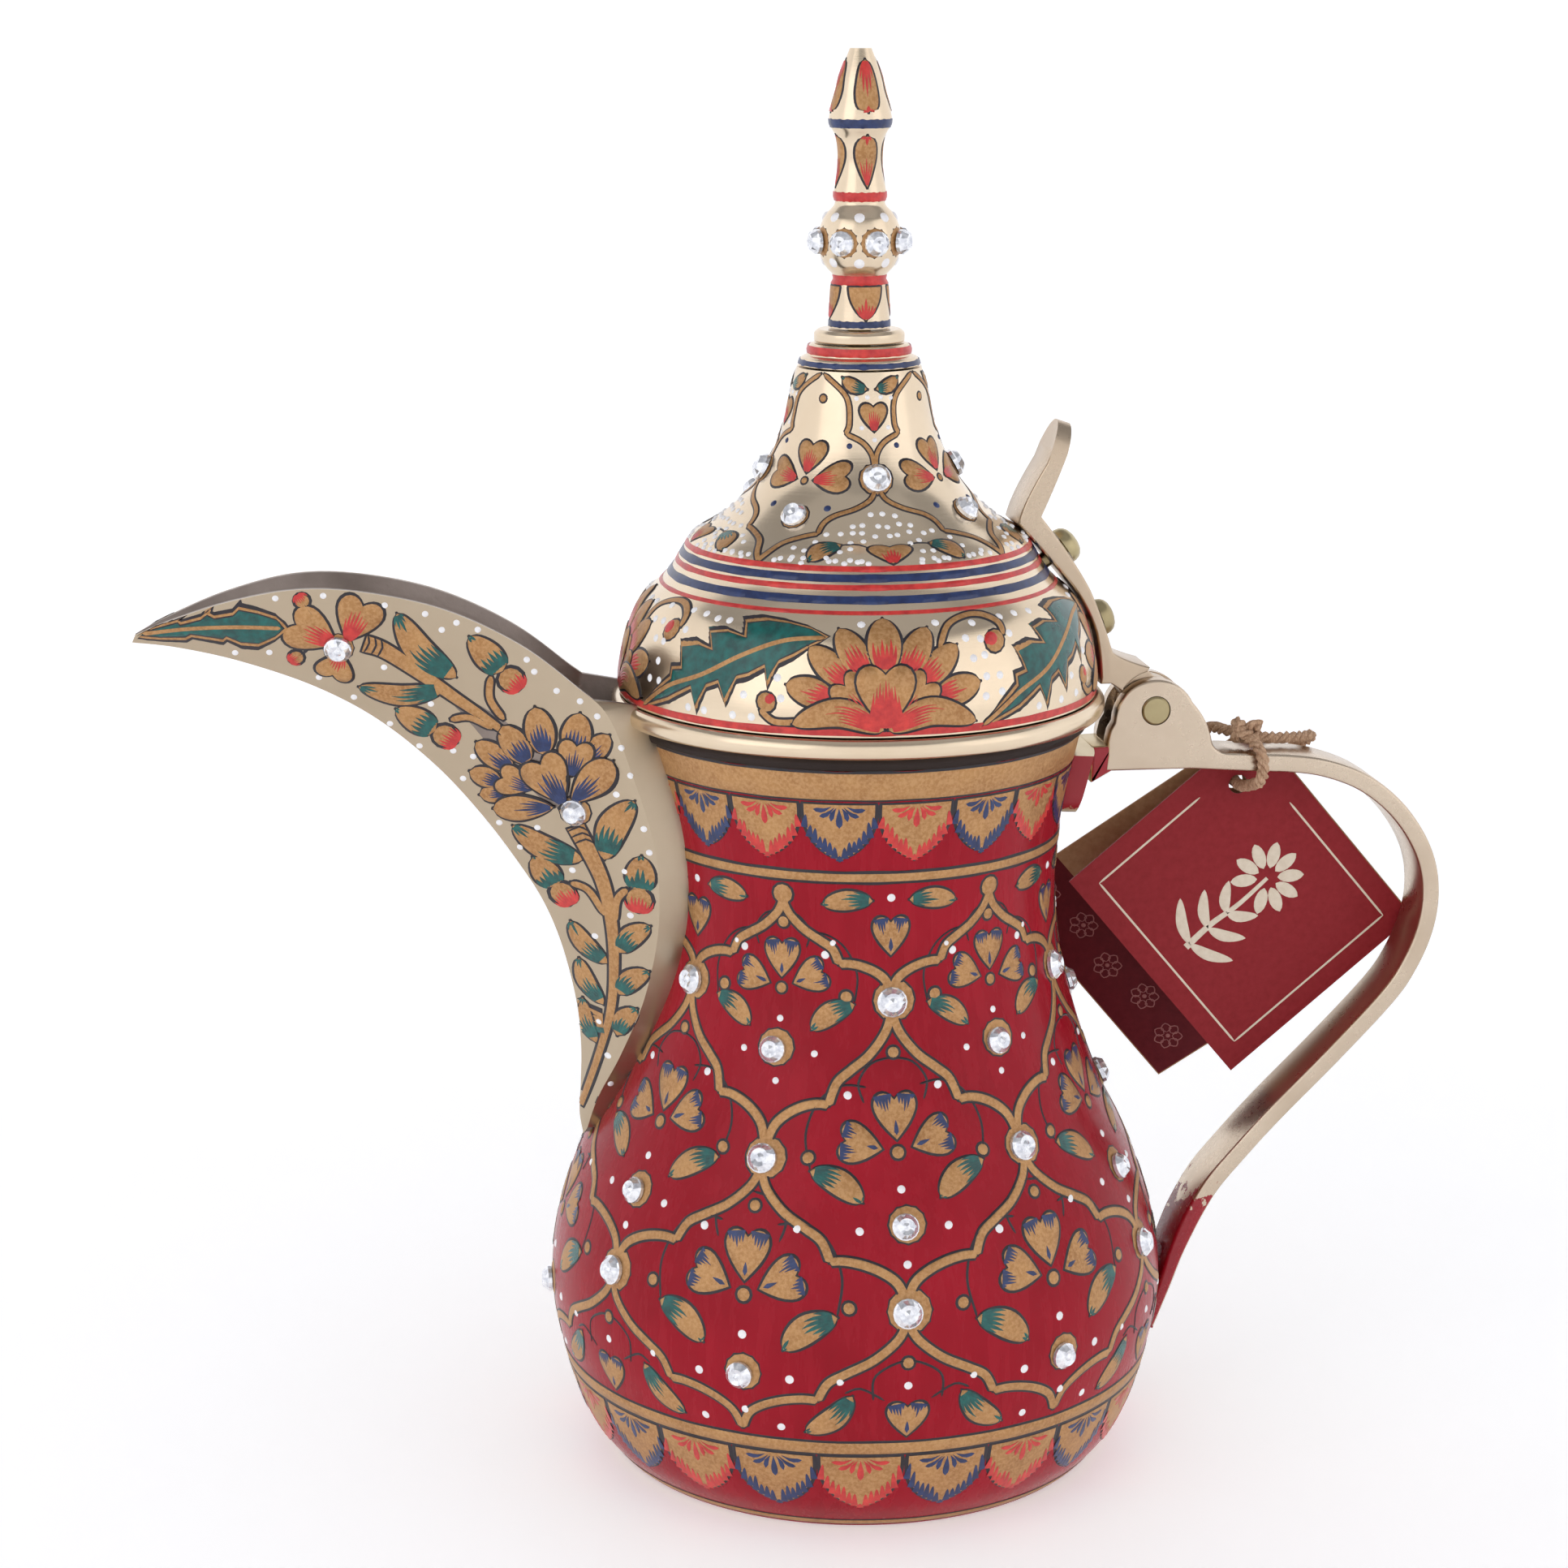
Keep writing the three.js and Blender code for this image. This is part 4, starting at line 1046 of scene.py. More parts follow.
def spout_section(station, index):
    keel_x, keel_z, edge_x, half, edge_z, depth = station
    keel, edge = Vector((keel_x, 0, keel_z)), Vector((edge_x, half, edge_z))
    rise = Vector((edge_x - keel_x, 0, edge_z - keel_z))
    side = edge - keel
    outward = side.cross(side.cross(Vector((0, 1, 0))).normalized()).normalized()
    if outward.y < 0:
        outward.negate()
    wall = min(SPOUT_WALL, half * 0.45)
    turn = min(max((index - 7.5) * 2, 0), 1)
    inward, narrow = edge_x + 12, half * 0.84
    lip = Vector((edge_x, half - wall * 0.4, edge_z)).lerp(Vector((inward, narrow, edge_z)), turn)
    inner = Vector((edge_x, half - wall, edge_z)).lerp(Vector((inward, narrow - wall, edge_z)), turn)
    floor = edge - rise.normalized() * depth
    floor.y = 0
    middle = floor.lerp(inner, 0.5) + outward * 2 * SPOUT_BULGE * side.length * depth / rise.length
    right = [keel + side * w + outward * 4 * SPOUT_BULGE * w * (1 - w) * side.length
             for w in (k / CHEEK_STEPS for k in range(1, CHEEK_STEPS + 1))]
    right += [lip, inner, *(inner.lerp(middle, k / 4) for k in range(1, 5))]
    right += [middle.lerp(floor, k / 4) for k in range(1, 4)]
    left = [Vector((p.x, -p.y, p.z)) for p in reversed(right)]
    return [keel, *right, floor, *left]


def build_spout():
    rows = spline([Vector(s) for s in SPOUT_STATIONS], 8 * (len(SPOUT_STATIONS) - 1))
    rings = [spout_section(tuple(row), i / 8) for i, row in enumerate(rows)]
    count = len(rings[0])
    verts = [p for section in rings for p in section]
    faces = tube(len(rings), count)
    channel = range(CHEEK_STEPS + 1, count - CHEEK_STEPS - 1)
    indices = [int(k % count in channel) for k in range(len(faces))]
    for start in (0, (len(rings) - 1) * count):
        for i in range(count // 2):
            quad = [start + k % count for k in (i, i + 1, 2 * count - i - 1, count - i)]
            corners = list(dict.fromkeys(quad))
            if len(corners) > 2:
                faces.append(corners)
    indices += [0] * (len(faces) - len(indices))
    spout = make("spout_cast", verts, faces, [CHEEK, CHANNEL], "pot", "polished_brass", ["spout"], 28,
                 indices)
    # A known fault: after this cut the root still reaches inside the mouth and the shut lid.
    boolean(spout, wall_envelope(), sharp=28)
    return spout


class Cheek:
    """Places paint on a cheek of the spout by its position in the pot's middle plane."""

    def __init__(self, spout):
        mesh = spout.data
        self.tree = BVHTree.FromPolygons([v.co / MM for v in mesh.vertices],
                                         [p.vertices[:] for p in mesh.polygons])

    def covers(self, sign, x, z):
        for a, b in ((0.9, 0), (-0.9, 0), (0, 0.9), (0, -0.9)):
            where, normal, _, _ = self.tree.ray_cast(Vector((x + a, 60 * sign, z + b)), Vector((0, -sign, 0)))
            if where is None or abs(normal.y) < 0.5 or abs(where.y) > 22:
                return False
        return True

    def side(self, sign):
        def place(x, z, lift):
            origin = Vector((x, 60 * sign, z))
            where, normal, _, _ = self.tree.ray_cast(origin, Vector((0, -sign, 0)))
            if where is None:
                where, normal, _, _ = self.tree.find_nearest(Vector((x, 10 * sign, z)))
            if normal.y * sign < 0:
                normal = -normal
            return where + normal * lift
        return place


CHEEK_LEAVES = [
    ((-79.6, 162.4), (-90.6, 175.3), 2.9), ((-81.8, 160), (-98, 159.8), 2.3), ((-55.8, 125.2), (-68.8, 131),
    2.7), ((-51.7, 126), (-46.3, 138.6), 2.9), ((-51.1, 104), (-57.8, 111.4), 2.1), ((-51.8, 95),
    (-56.2, 103.6), 1.9), ((-53.1, 86.5), (-55.5, 95), 1.7), ((-48.9, 106.8), (-43.4, 113.4), 2.1),
    ((-49, 98), (-43.6, 104), 2), ((-49.4, 89.4), (-45.8, 95.8), 1.8)]
CHEEK_BUDS = [
    ((-69.2, 162), (-77, 170.6), [(-70.6, 153.8), (-73.2, 158), (-73, 162.6)]),
    ((-81.7, 149.8), (-91, 155.2), [(-72.8, 152), (-77, 154), (-80.6, 153.4)]),
    ((-59.3, 117.2), (-65, 124.4), [(-51.6, 114.2), (-54.6, 118.9), (-57.8, 119.8)]),
    ((-45.4, 118.6), (-45, 127.6), [(-49.8, 113.2), (-49.4, 117.8), (-47.6, 120.4)])]
LOTUS_PETALS_BLUE = [
    ((-70.4, 138.1), (-75.1, 137.3), 2), ((-71.1, 140.3), (-77, 142.4), 2.3), ((-69, 143.4), (-75.8, 148.8),
    2.6), ((-66, 145), (-70.9, 152.4), 2.9), ((-55.4, 145.7), (-50.8, 151.3), 2.2), ((-57.6, 146.6),
    (-56.2, 155.4), 3), ((-62.8, 146.8), (-64.7, 156.4), 3)]
TIP_RIB = [(-138.6, 171.1), (-130.4, 172.2), (-121.3, 172.6), (-112.6, 172.4)]
TIP_EDGES = [
    [(-139.4, 170.7), (-136.4, 172.6), (-131.8, 174.3), (-131.3, 173.6), (-127.5, 174.9), (-126.3, 176.2),
     (-125, 175.2), (-121.5, 176), (-120.4, 177.5), (-116.9, 176.5), (-113.4, 175), (-111.3, 172.3)],
    [(-139.4, 170.3), (-135.3, 169.7), (-130.5, 169.5), (-129.4, 170.3), (-123.5, 168.9), (-122.8, 169.7),
     (-120.1, 168), (-116.9, 167.7), (-113.7, 169.8), (-111.3, 172.3)]]
CHEEK_DOTS = [
    (-113.4, 178.5), (-111.9, 174.7), (-111.4, 168.5), (-114.9, 167), (-92.9, 177), (-85.3, 175.2),
    (-82.2, 172), (-79.4, 173.4), (-70.6, 168.2), (-64.8, 163.6), (-60.6, 159.8), (-56.2, 157.8),
    (-53, 154.9), (-48.6, 149), (-47, 143.7), (-49.6, 139.6), (-44.6, 133.2), (-43.6, 128.5), (-89.8, 169.2),
    (-93.2, 164.2), (-92.8, 157), (-78.4, 156.4), (-84.4, 156.6), (-78.3, 140.6), (-80.2, 146.6),
    (-64.2, 131), (-61.4, 127.4), (-63.3, 116.4), (-57.6, 122.6), (-48, 124), (-47, 115), (-53.4, 109.2),
    (-59.6, 107.4), (-56.4, 101), (-52.6, 91), (-54.9, 83.4), (-51.2, 84.6), (-54.4, 77.6), (-92.2, 151.8),
    (-86.6, 147.2), (-99, 157.4), (-105.6, 161.6), (-121.4, 166.8), (-127.5, 167.6), (-66.2, 166),
    (-75.4, 172), (-99, 178.6), (-104.4, 179), (-84.4, 167.4), (-76.4, 145.6), (-71.4, 131.4),
    (-67.4, 126.4), (-46.2, 108.6), (-46.6, 100.2), (-48, 92.6), (-50.6, 78.4)]


def paint_ties(brush, at, stem, shares, offsets):
    """Short lines across the first stretch of a stem."""
    for share in shares:
        p = Vector(stem[0]).lerp(Vector(stem[1]), share)
        brush.line(at, [p + Vector(offset) for offset in offsets], 0.2, lift=TINT_LIFT + 0.05)


def paint_cheek(brush, at, covers):
    brush.leaf_cut(at, TIP_RIB, TIP_EDGES)
    for root, centre in (((-106.6, 175.2), (-108.4, 178)), ((-107.4, 167.8), (-109.8, 166))):
        brush.line(at, [root, centre], 0.4)
        brush.berry(at, centre, root, 1.7)
    stem = [(-96.8, 169.2), (-93.1, 167.8), (-87.1, 163.6), (-80.2, 158.4), (-74.9, 154.6), (-71.2, 151.8)]
    brush.shape(at, stem, lambda t: 1.9 - 1.2 * t)
    for steps, point, top, width in ((0, (-101.9, 168.9), (-110.9, 173.8), 9.4),
                                     (0.5, (-100.2, 169.6), (-96.4, 178.2), 9),
                                     (1, (-101.2, 167.2), (-103.2, 161.6), 7.4)):
        brush.heart(raised(at, steps), point, top, width, "scarlet", True)
    paint_ties(brush, at, stem, (0, 0.352, 0.672), ((-0.2, -1.9), (0.9, 0.2), (0.6, 1.9)))
    for root, tip, width in CHEEK_LEAVES:
        brush.leaf(at, root, tip, width, 0.1, 0.5, 0.72, (("green", 0.97, 0.74, 5), ("green", 0.14, 0.58, 6)))
    for centre, cap, stalk in CHEEK_BUDS:
        centre, cap = Vector(centre), Vector(cap)
        brush.shape(at, stalk, even(0.7, 0.2))
        root, half = centre.lerp(cap, 0.2), swell(2.9, 0.42, 0.7)
        brush.shape(at, between(root, cap), half)
        brush.fringe(at, [root, cap], half, "green", 0.12, 0.56, 6)
        brush.fringe(at, [root, cap], half, "green", 0.97, 0.82, 4)
        brush.berry(at, centre, cap, 2.9)
    stem = [(-57, 132), (-54.2, 126.4), (-51.8, 120.4), (-50.4, 112.9), (-49.9, 104.4), (-50.4, 94.9),
            (-52.4, 85.5), (-56, 72.4)]
    brush.shape(at, stem, lambda t: 1.9 - 1.45 * t ** 0.8)
    paint_ties(brush, at, stem, (0.1, 0.32, 0.54), ((-1.8, -0.7), (0.4, 0.7), (1.9, 0.1)))
    for steps, (root, tip, width) in zip((0, 0.3, 0.6, 0.9, 0, 0.3, 1.1), LOTUS_PETALS_BLUE):
        half = swell(width, 0.5, 0.68)
        brush.petal(raised(at, steps), between(root, tip), half, ("blue", 0.1, 0.62, 6, 0.6))
    second, third, front = (raised(at, steps) for steps in (1.5, 2.1, 2.6))
    brush.heart(second, (-57.8, 142.4), (-56.6, 149.8), 6.8, "blue", True)
    brush.heart(second, (-65, 139.4), (-71.6, 141.8), 6.6, "blue", True)
    for root, tip, width in (((-61.2, 135.8), (-72.4, 134.6), 2.9), ((-57.6, 137.2), (-50.2, 146.2), 3.3)):
        brush.petal(third, between(root, tip), swell(width, 0.6, 0.7), ("blue", 0.06, 0.62, 6, 0.6))
    brush.heart(front, (-59.2, 136.6), (-64.4, 146.2), 9, "blue", True)
    for x, z in CHEEK_DOTS:
        point = at(x, z, 0)
        if covers(x, z) and brush.clear(point, 0.45):
            brush.spot(at, x, z, 0.68)


CHEEK_STONES = [(3.5, 0.51), (7.95, 0.5)]


def paint_spout(spout):
    cheek = Cheek(spout)
    brush = Brush("pot")
    stones = []
    for sign in (-1, 1):
        at = cheek.side(sign)
        brush.drawn = []
        for station, share in CHEEK_STONES:
            low, high = SPOUT_STATIONS[int(station)], SPOUT_STATIONS[int(station) + 1]
            kx, kz, ex, _, ez, _ = Vector(low).lerp(Vector(high), station % 1)
            x, z = kx + (ex - kx) * share, kz + (ez - kz) * share
            brush.spot(at, x, z, 3.1, "gold", 0.35, GOLD_LIFT)
            stones.append(set_stone(at, x, z, 2.7))
        paint_cheek(brush, at, lambda x, z: cheek.covers(sign, x, z))
    make_stones("spout_stones", "pot", stones, "spout_stone")


# ---- handle ----
def handle_outline():
    """The strap, thinner at its tail, with the ear at its top. Upper and lower are its two long edges."""
    last = 190
    samples = spline(STRAP_CENTRE, last)
    half = [min(1, 0.6 + (last - i) * 56 / last / 20) * STRAP_THICKNESS / 2 for i in range(last + 1)]
    edges = [[inset(samples[max(i - 1, 0):i + 2], side * half[i])[min(i, 1)] for i in range(last + 1)]
             for side in (-1, 1)]
    lower, upper = sorted(edges, key=lambda edge: edge[20].y)
    arch = arc((PIN[0], PIN[1] - 2.2), 8.4, math.pi, math.pi * 0.14, 24)
    shoulder = quad_curve(arch[-1], (70.2, 148.6), (71, 143.9), 8)
    shoulder += quad_curve(shoulder[-1], (71.6, 141.9), (75, 141.6), 6)[:-1]
    ear = [Vector(p) for p in ((49.4, 138.8), (49.4, 142), (49.4, 145), (49.9, 147.2))]
    bottom = [p for p in lower if p.x > 66.2 or p.y < 130]
    top = [p for p in upper if p.x > 75 or p.y < 130]
    return [*ear, *arch, *shoulder, *top, *reversed(bottom)]


def saddle():
    """The foot that hugs the neck, with rounded lower corners."""
    rows, columns, half, corner = 14, 16, 14, 5
    levels = spline([(43.4, 131.6), (45, 135.5), (47, 143.8)], rows)
    verts, faces, grid = [], [], []
    for level in levels:
        drop = max(0, levels[0].y + corner - level.y)
        reach = half - corner + math.sqrt(max(corner ** 2 - drop ** 2, 0.4))
        line = []
        for c in range(columns + 1):
            y = reach * (2 * c / columns - 1)
            a = math.asin(y / level.x)
            wall = BODY.row(BODY.s_at(level.y))[0] + 0.1
            line.append((len(verts), len(verts) + 1))
            verts.append((level.x * math.cos(a), level.x * math.sin(a), level.y))
            verts.append((wall * math.cos(a), wall * math.sin(a), level.y))
        grid.append(line)
    for r in range(rows):
        for c in range(columns):
            a, b, d, e = grid[r][c], grid[r][c + 1], grid[r + 1][c + 1], grid[r + 1][c]
            faces += [(a[0], b[0], d[0], e[0]), (e[1], d[1], b[1], a[1])]
        for c in (0, columns):
            a, e = grid[r][c], grid[r + 1][c]
            faces.append((a[0], e[0], e[1], a[1]))
    for r in (0, rows):
        for c in range(columns):
            a, b = grid[r][c], grid[r][c + 1]
            faces.append((a[0], b[0], b[1], a[1]))
    return verts, faces


def build_handle():
    strap = plate(handle_outline(), STRAP_HALF, 0.7)
    strap = make("handle_cast", *strap, handle_brass(), "pot", "cast_brass", ["handle"], 40)
    floor = PIN[1] - 6.7
    slot = plate(rounded([(44, floor), (72.5, floor), (72.5, 170), (44, 170)], 0.8), EAR_INNER, 0.01, 1)
    boolean(strap, slot, sharp=40)
    on_pin = placing(PIN[0], 0, PIN[1], 90, "X")
    bore = moved(rod(PIN_RADIUS + CUT_GAP, 9, 48), on_pin)
    boolean(strap, bore, sharp=40)
    boolean(strap, wall_envelope(), sharp=40)
    bridge = rounded([(46.2, 136.4), (50.8, 139), (50.8, 144.1), (46.2, 143.9)], 0.5)
    bridge = plate(bridge, STRAP_HALF - 0.1, 0.6)
    make("handle_saddle", *merged(saddle(), bridge), saddle_brass(), "pot", "cast_brass", (), 40)
    pin = lathe([(0, -6.6), (PIN_RADIUS - 0.35, -6.6), (PIN_RADIUS, -6.25), (PIN_RADIUS, 6.25),
                 (PIN_RADIUS - 0.35, 6.6), (0, 6.6)], 40)
    make("hinge_pin_turned", *moved(pin, on_pin), RIVET, "pot", "turned_brass", ["hinge_pin"], 30)


# ---- lid ----
TOP_STEP = [(11.9, 220.1), (11.3, 221.6), (10.1, 222.1), (10.1, 223.6), (9.2, 224.3)]


def build_lid():
    outer = spline(LID_OUTLINE, 120)
    inner = inset(spline(LID_OUTLINE, 40), WALL)
    inner[0] = Vector((LID_OUTLINE[0][0] - WALL, LID_OUTLINE[0][1]))
    inner[-1] = Vector((LID_OUTLINE[-1][0] - WALL, LID_TOP))
    dome = lathe([*outer, *reversed(inner)], 180)
    make("lid_dome_spun", *dome, POLISHED, "lid", "polished_brass", ["lid_dome"], 45)
    bore = COLLAR_RADIUS + GAP
    band = rounded([(bore, RIM_BOTTOM), (RIM_RADIUS - 0.7, RIM_BOTTOM), (RIM_RADIUS, RIM_BOTTOM + 0.9),
                    (RIM_RADIUS, RIM_TOP - 1.2), (RIM_RADIUS - 1, RIM_TOP), (bore, RIM_TOP)], 0.7)
    make("lid_rim_band", *lathe(band, 180), POLISHED, "lid", "polished_brass", ["lid_rim_ring"], 50)
    wall = COLLAR_RADIUS - 1.3
    collar = rounded([(wall, 146.2), (COLLAR_RADIUS - 0.9, 146.2), (COLLAR_RADIUS, 148),
                      (COLLAR_RADIUS, RIM_TOP - 0.4), (wall, RIM_TOP - 0.4)], 0.3)
    make("lid_collar_turned", *lathe(collar, 160), TURNED, "lid", "turned_brass", ["lid_locating_collar"], 50)
    bottom = LID_TOP + GAP
    step = rounded([(3.3, bottom), (11.9, bottom), *TOP_STEP[1:], (3.3, 224.3)], 0.25)
    make("lid_top_step", *lathe(step, 96), POLISHED, "lid", "polished_brass", ["lid_top_ring"], 40)


THUMB_FOOT = (31.6, 189.5)
THUMB_TILT = 19


def arm_outline():
    reach = 8.1
    points = [Vector((39.4, 209)), Vector((41.9, 208))]
    for lean, end, steps in (((41, 203), (35.3, 190.3), 10), ((42.2, 181.6), (45.5, 175.4), 10),
                             ((48.2, 169.4), (50.2, 162.9), 10),
                             ((52.6, 161.2), (PIN[0] - 1.4, PIN[1] + reach + 0.7), 6)):
        points += quad_curve(points[-1], lean, end, steps)
    points.append(Vector((PIN[0] - 1.9, PIN[1] + reach - 0.2)))
    points += arc(PIN, reach, math.pi * 0.575, math.pi * 0.83, 9)
    points += [Vector((50, 156.6)), Vector((47.9, 156.6))]
    for lean, end, steps in (((47.8, 162), (46.7, 167), 8), ((44.8, 172.8), (40.9, 177.4), 8),
                             ((37.2, 181.8), (30.6, 189), 8), ((31.4, 193), (36.2, 200.8), 10)):
        points += quad_curve(points[-1], lean, end, steps)
    return points + [points[-1].lerp(points[0], k / 8) for k in range(1, 8)]


def build_arm():
    arm = plate(arm_outline(), STRAP_HALF, 0.5)
    arm = make("lid_arm_cast", *arm, ARM_BRASS, "lid", "cast_brass", ["lid_arm"])
    # The thumb plate's end is rounded by what it shares with an upright round-topped slab.
    half, top = STRAP_HALF, 11.5
    slab = [(-9, -60), (9, -60), (9, -3), (half, -2), (half, top)]
    slab += [(half * math.cos(a), top + 9.2 * math.sin(a)) for a in (math.pi * k / 24 for k in range(1, 24))]
    slab += [(-half, top), (-half, -2), (-9, -3)]
    count = len(slab)
    flat = [(-x, y, z) for y in (-60, 60) for x, z in slab]
    sides = [*tube(2, count), tuple(range(count)), tuple(range(2 * count - 1, count - 1, -1))]
    turn = placing(THUMB_FOOT[0], 0, THUMB_FOOT[1], THUMB_TILT, "Y") @ Matrix.Rotation(math.pi / 2, 4, "Z")
    boolean(arm, moved((flat, sides), turn), "INTERSECT")
    knuckle = arc(PIN, 6.15, 0, math.pi * 78 / 40, 39)
    link = [(50.8, 157.2), (54.8, 150.8), (60.6, 156.2), (57.4, 159.2)]
    joint = merged(plate(knuckle, 2.7, 0.3), plate(rounded(link, 0.4), 2.6, 0.3))
    make("lid_knuckle", *joint, ARM_BRASS, "lid", "cast_brass")
    for name, x, z, slope, inside in (("upper", 39.4, 182.2, 55, 8.6), ("lower", 46.7, 168.2, 70, 5.2)):
        turn = placing(x, 0, z, slope, "Y")
        dome = [(3.7, 2.1), (3.68, 2.5), (3.5, 3.3), (3.05, 4), (2.3, 4.55), (1.2, 4.88), (0, 4.98)]
        head = [(0, -inside - 1.2), (1.6, -inside - 1.2), (1.6, 2.1), *dome]
        head = moved(lathe(head, 40), turn)
        make(f"rivet_head_{name}", *head, RIVET, "lid", "polished_brass", [f"lid_rivet_{name}"], 40)
        washer = rounded([(1.9, -inside - 1), (3.4, -inside - 1), (3.4, -inside), (1.9, -inside)], 0.2)
        washer = moved(lathe(washer, 32), turn)
        make(f"washer_{name}", *washer, TURNED, "lid", "turned_brass", [f"rivet_washer_{name}"], 40)


def build_finial():
    collar = rounded([(2.5, 224.6), (8.8, 224.6), (8.8, 226.3), (8, 227), (2.5, 227)], 0.3)
    make("finial_seat", *lathe(collar, 72), POLISHED, "lid", "polished_brass", ["finial_collar"], 40)
    socket = [(0, TOP), (0, 234), (2.5, 234), (2.5, 227.3)]
    spindle = lathe([*spline(SPINDLE_OUTLINE, 150), *socket], 72)
    make("finial_turned", *spindle, POLISHED, "lid", "polished_brass", ["finial_spindle"], 50)
    stud = lathe([(0, 214), (1.9, 214), (2.2, 214.3), (2.2, 233.6), (0, 233.6)], 24)
    make("stud", *stud, TURNED, "lid", "turned_brass", ["finial_stud"])
    nut = arc((0, 0), 5, 0, math.pi * 5 / 3, 5)
    shape = moved(plate(rounded(nut, 0.4), 1.3, 0.25), placing(0, 0, 218, 90, "X"))
    hexagon = make("nut", *shape, TURNED, "lid", "turned_brass", ["finial_nut"])
    boolean(hexagon, lathe([(0, 210), (2.5, 210), (2.5, 226), (0, 226)], 32))


LOTUS_PETALS = [((0, 10.8), (0, 21.8), 3.4), ((-3.6, 10.2), (-8.2, 19.4), 3), ((3.6, 10.2), (8.2, 19.4), 3),
                ((-6.4, 8.6), (-13.9, 15.6), 2.9), ((6.4, 8.6), (13.9, 15.6), 2.9),
                ((-9.6, 6.2), (-18.6, 8.4), 2.9), ((9.6, 6.2), (18.6, 8.4), 2.9)]
LEAF_RIB = [(-54.6, 0.2), (-46, 5.1), (-36.6, 8.6), (-27.1, 13.3), (-18.6, 16.6), (-11, 17.5)]
LEAF_EDGES = [
    [(-55.4, -0.2), (-50.6, 3.5), (-45.6, 7), (-45.4, 9.2), (-42.6, 9.6), (-43.2, 14.6), (-38.6, 15.4),
     (-35, 14.2), (-35.8, 18.2), (-31.7, 18.6), (-27.4, 17.2), (-27.4, 21), (-22.6, 21.8), (-18.3, 21.3),
     (-13.8, 19.9), (-10.4, 17.7)],
    [(-55.4, -0.4), (-45.9, 2.2), (-39.6, 5.4), (-38.2, 0.8), (-35.7, 6), (-32.9, 7), (-31.2, 2.8),
     (-28.8, 8), (-26.4, 8.6), (-22.9, 10.6), (-22.4, 6.9), (-20, 11.6), (-17.1, 13.2), (-14, 15.5),
     (-10.4, 17.7)]]


def paint_lotus(brush, at):
    for k, (root, tip, width) in enumerate(LOTUS_PETALS):
        behind = raised(at, 0.3 * (3 - (k + 1) // 2))
        brush.petal(behind, between(root, tip), swell(width, 0.48, 0.68), ("scarlet", 0.1, 0.62, 6, 0.62))
    second, third, front = (raised(at, steps) for steps in (1.2, 1.8, 2.4))
    for side in (-1, 1):
        brush.heart(second, (side, 1.4), (side * 8.6, 9.8), 7.4, "scarlet", True)
        brush.petal(third, flip(side, (0.5, 0.4), (8.5, 3.6), (17.4, 1.2)), swell(2.8, 0.48, 0.72),
                    ("scarlet", 0.06, 0.6, 7, 0.6))
    brush.heart(front, (0, 0.3), (0, 12.4), 11.2, "scarlet", True)
    brush.fringe(front, [(0, 1.4), (0, 12.4)], lambda t: 3.4 * (1 - 0.4 * t), "scarlet", 0.1, 0.66, 9)


LID_FRAME = [[(0.6, 199), (4, 196.7), (12, 195.1), (21.6, 193.9), (26, 192.6), (27.2, 190.9)],
             [(27.2, 190.9), (33, 190.3), (39.5, 189.2), (43, 187.4), (45, 186.2)],
             [(0.6, 202), (1.6, 204.6), (8, 206.9), (20, 208.4)],
             [(20, 208.4), (17.6, 210.6), (21, 215.4), (43, 219.3)]]
# Belts of white dots: lowest and highest, their pitch, and a test of the angle from the frame and the height.
LID_DOTS = [(159.5, 176.6, 3.6, lambda a, z: True),
            (187.2, 195.6, 2.3, lambda a, z: z < 196.4 - abs(a) * 0.23),
            (186.6, 187.1, 2.6, lambda a, z: True)]


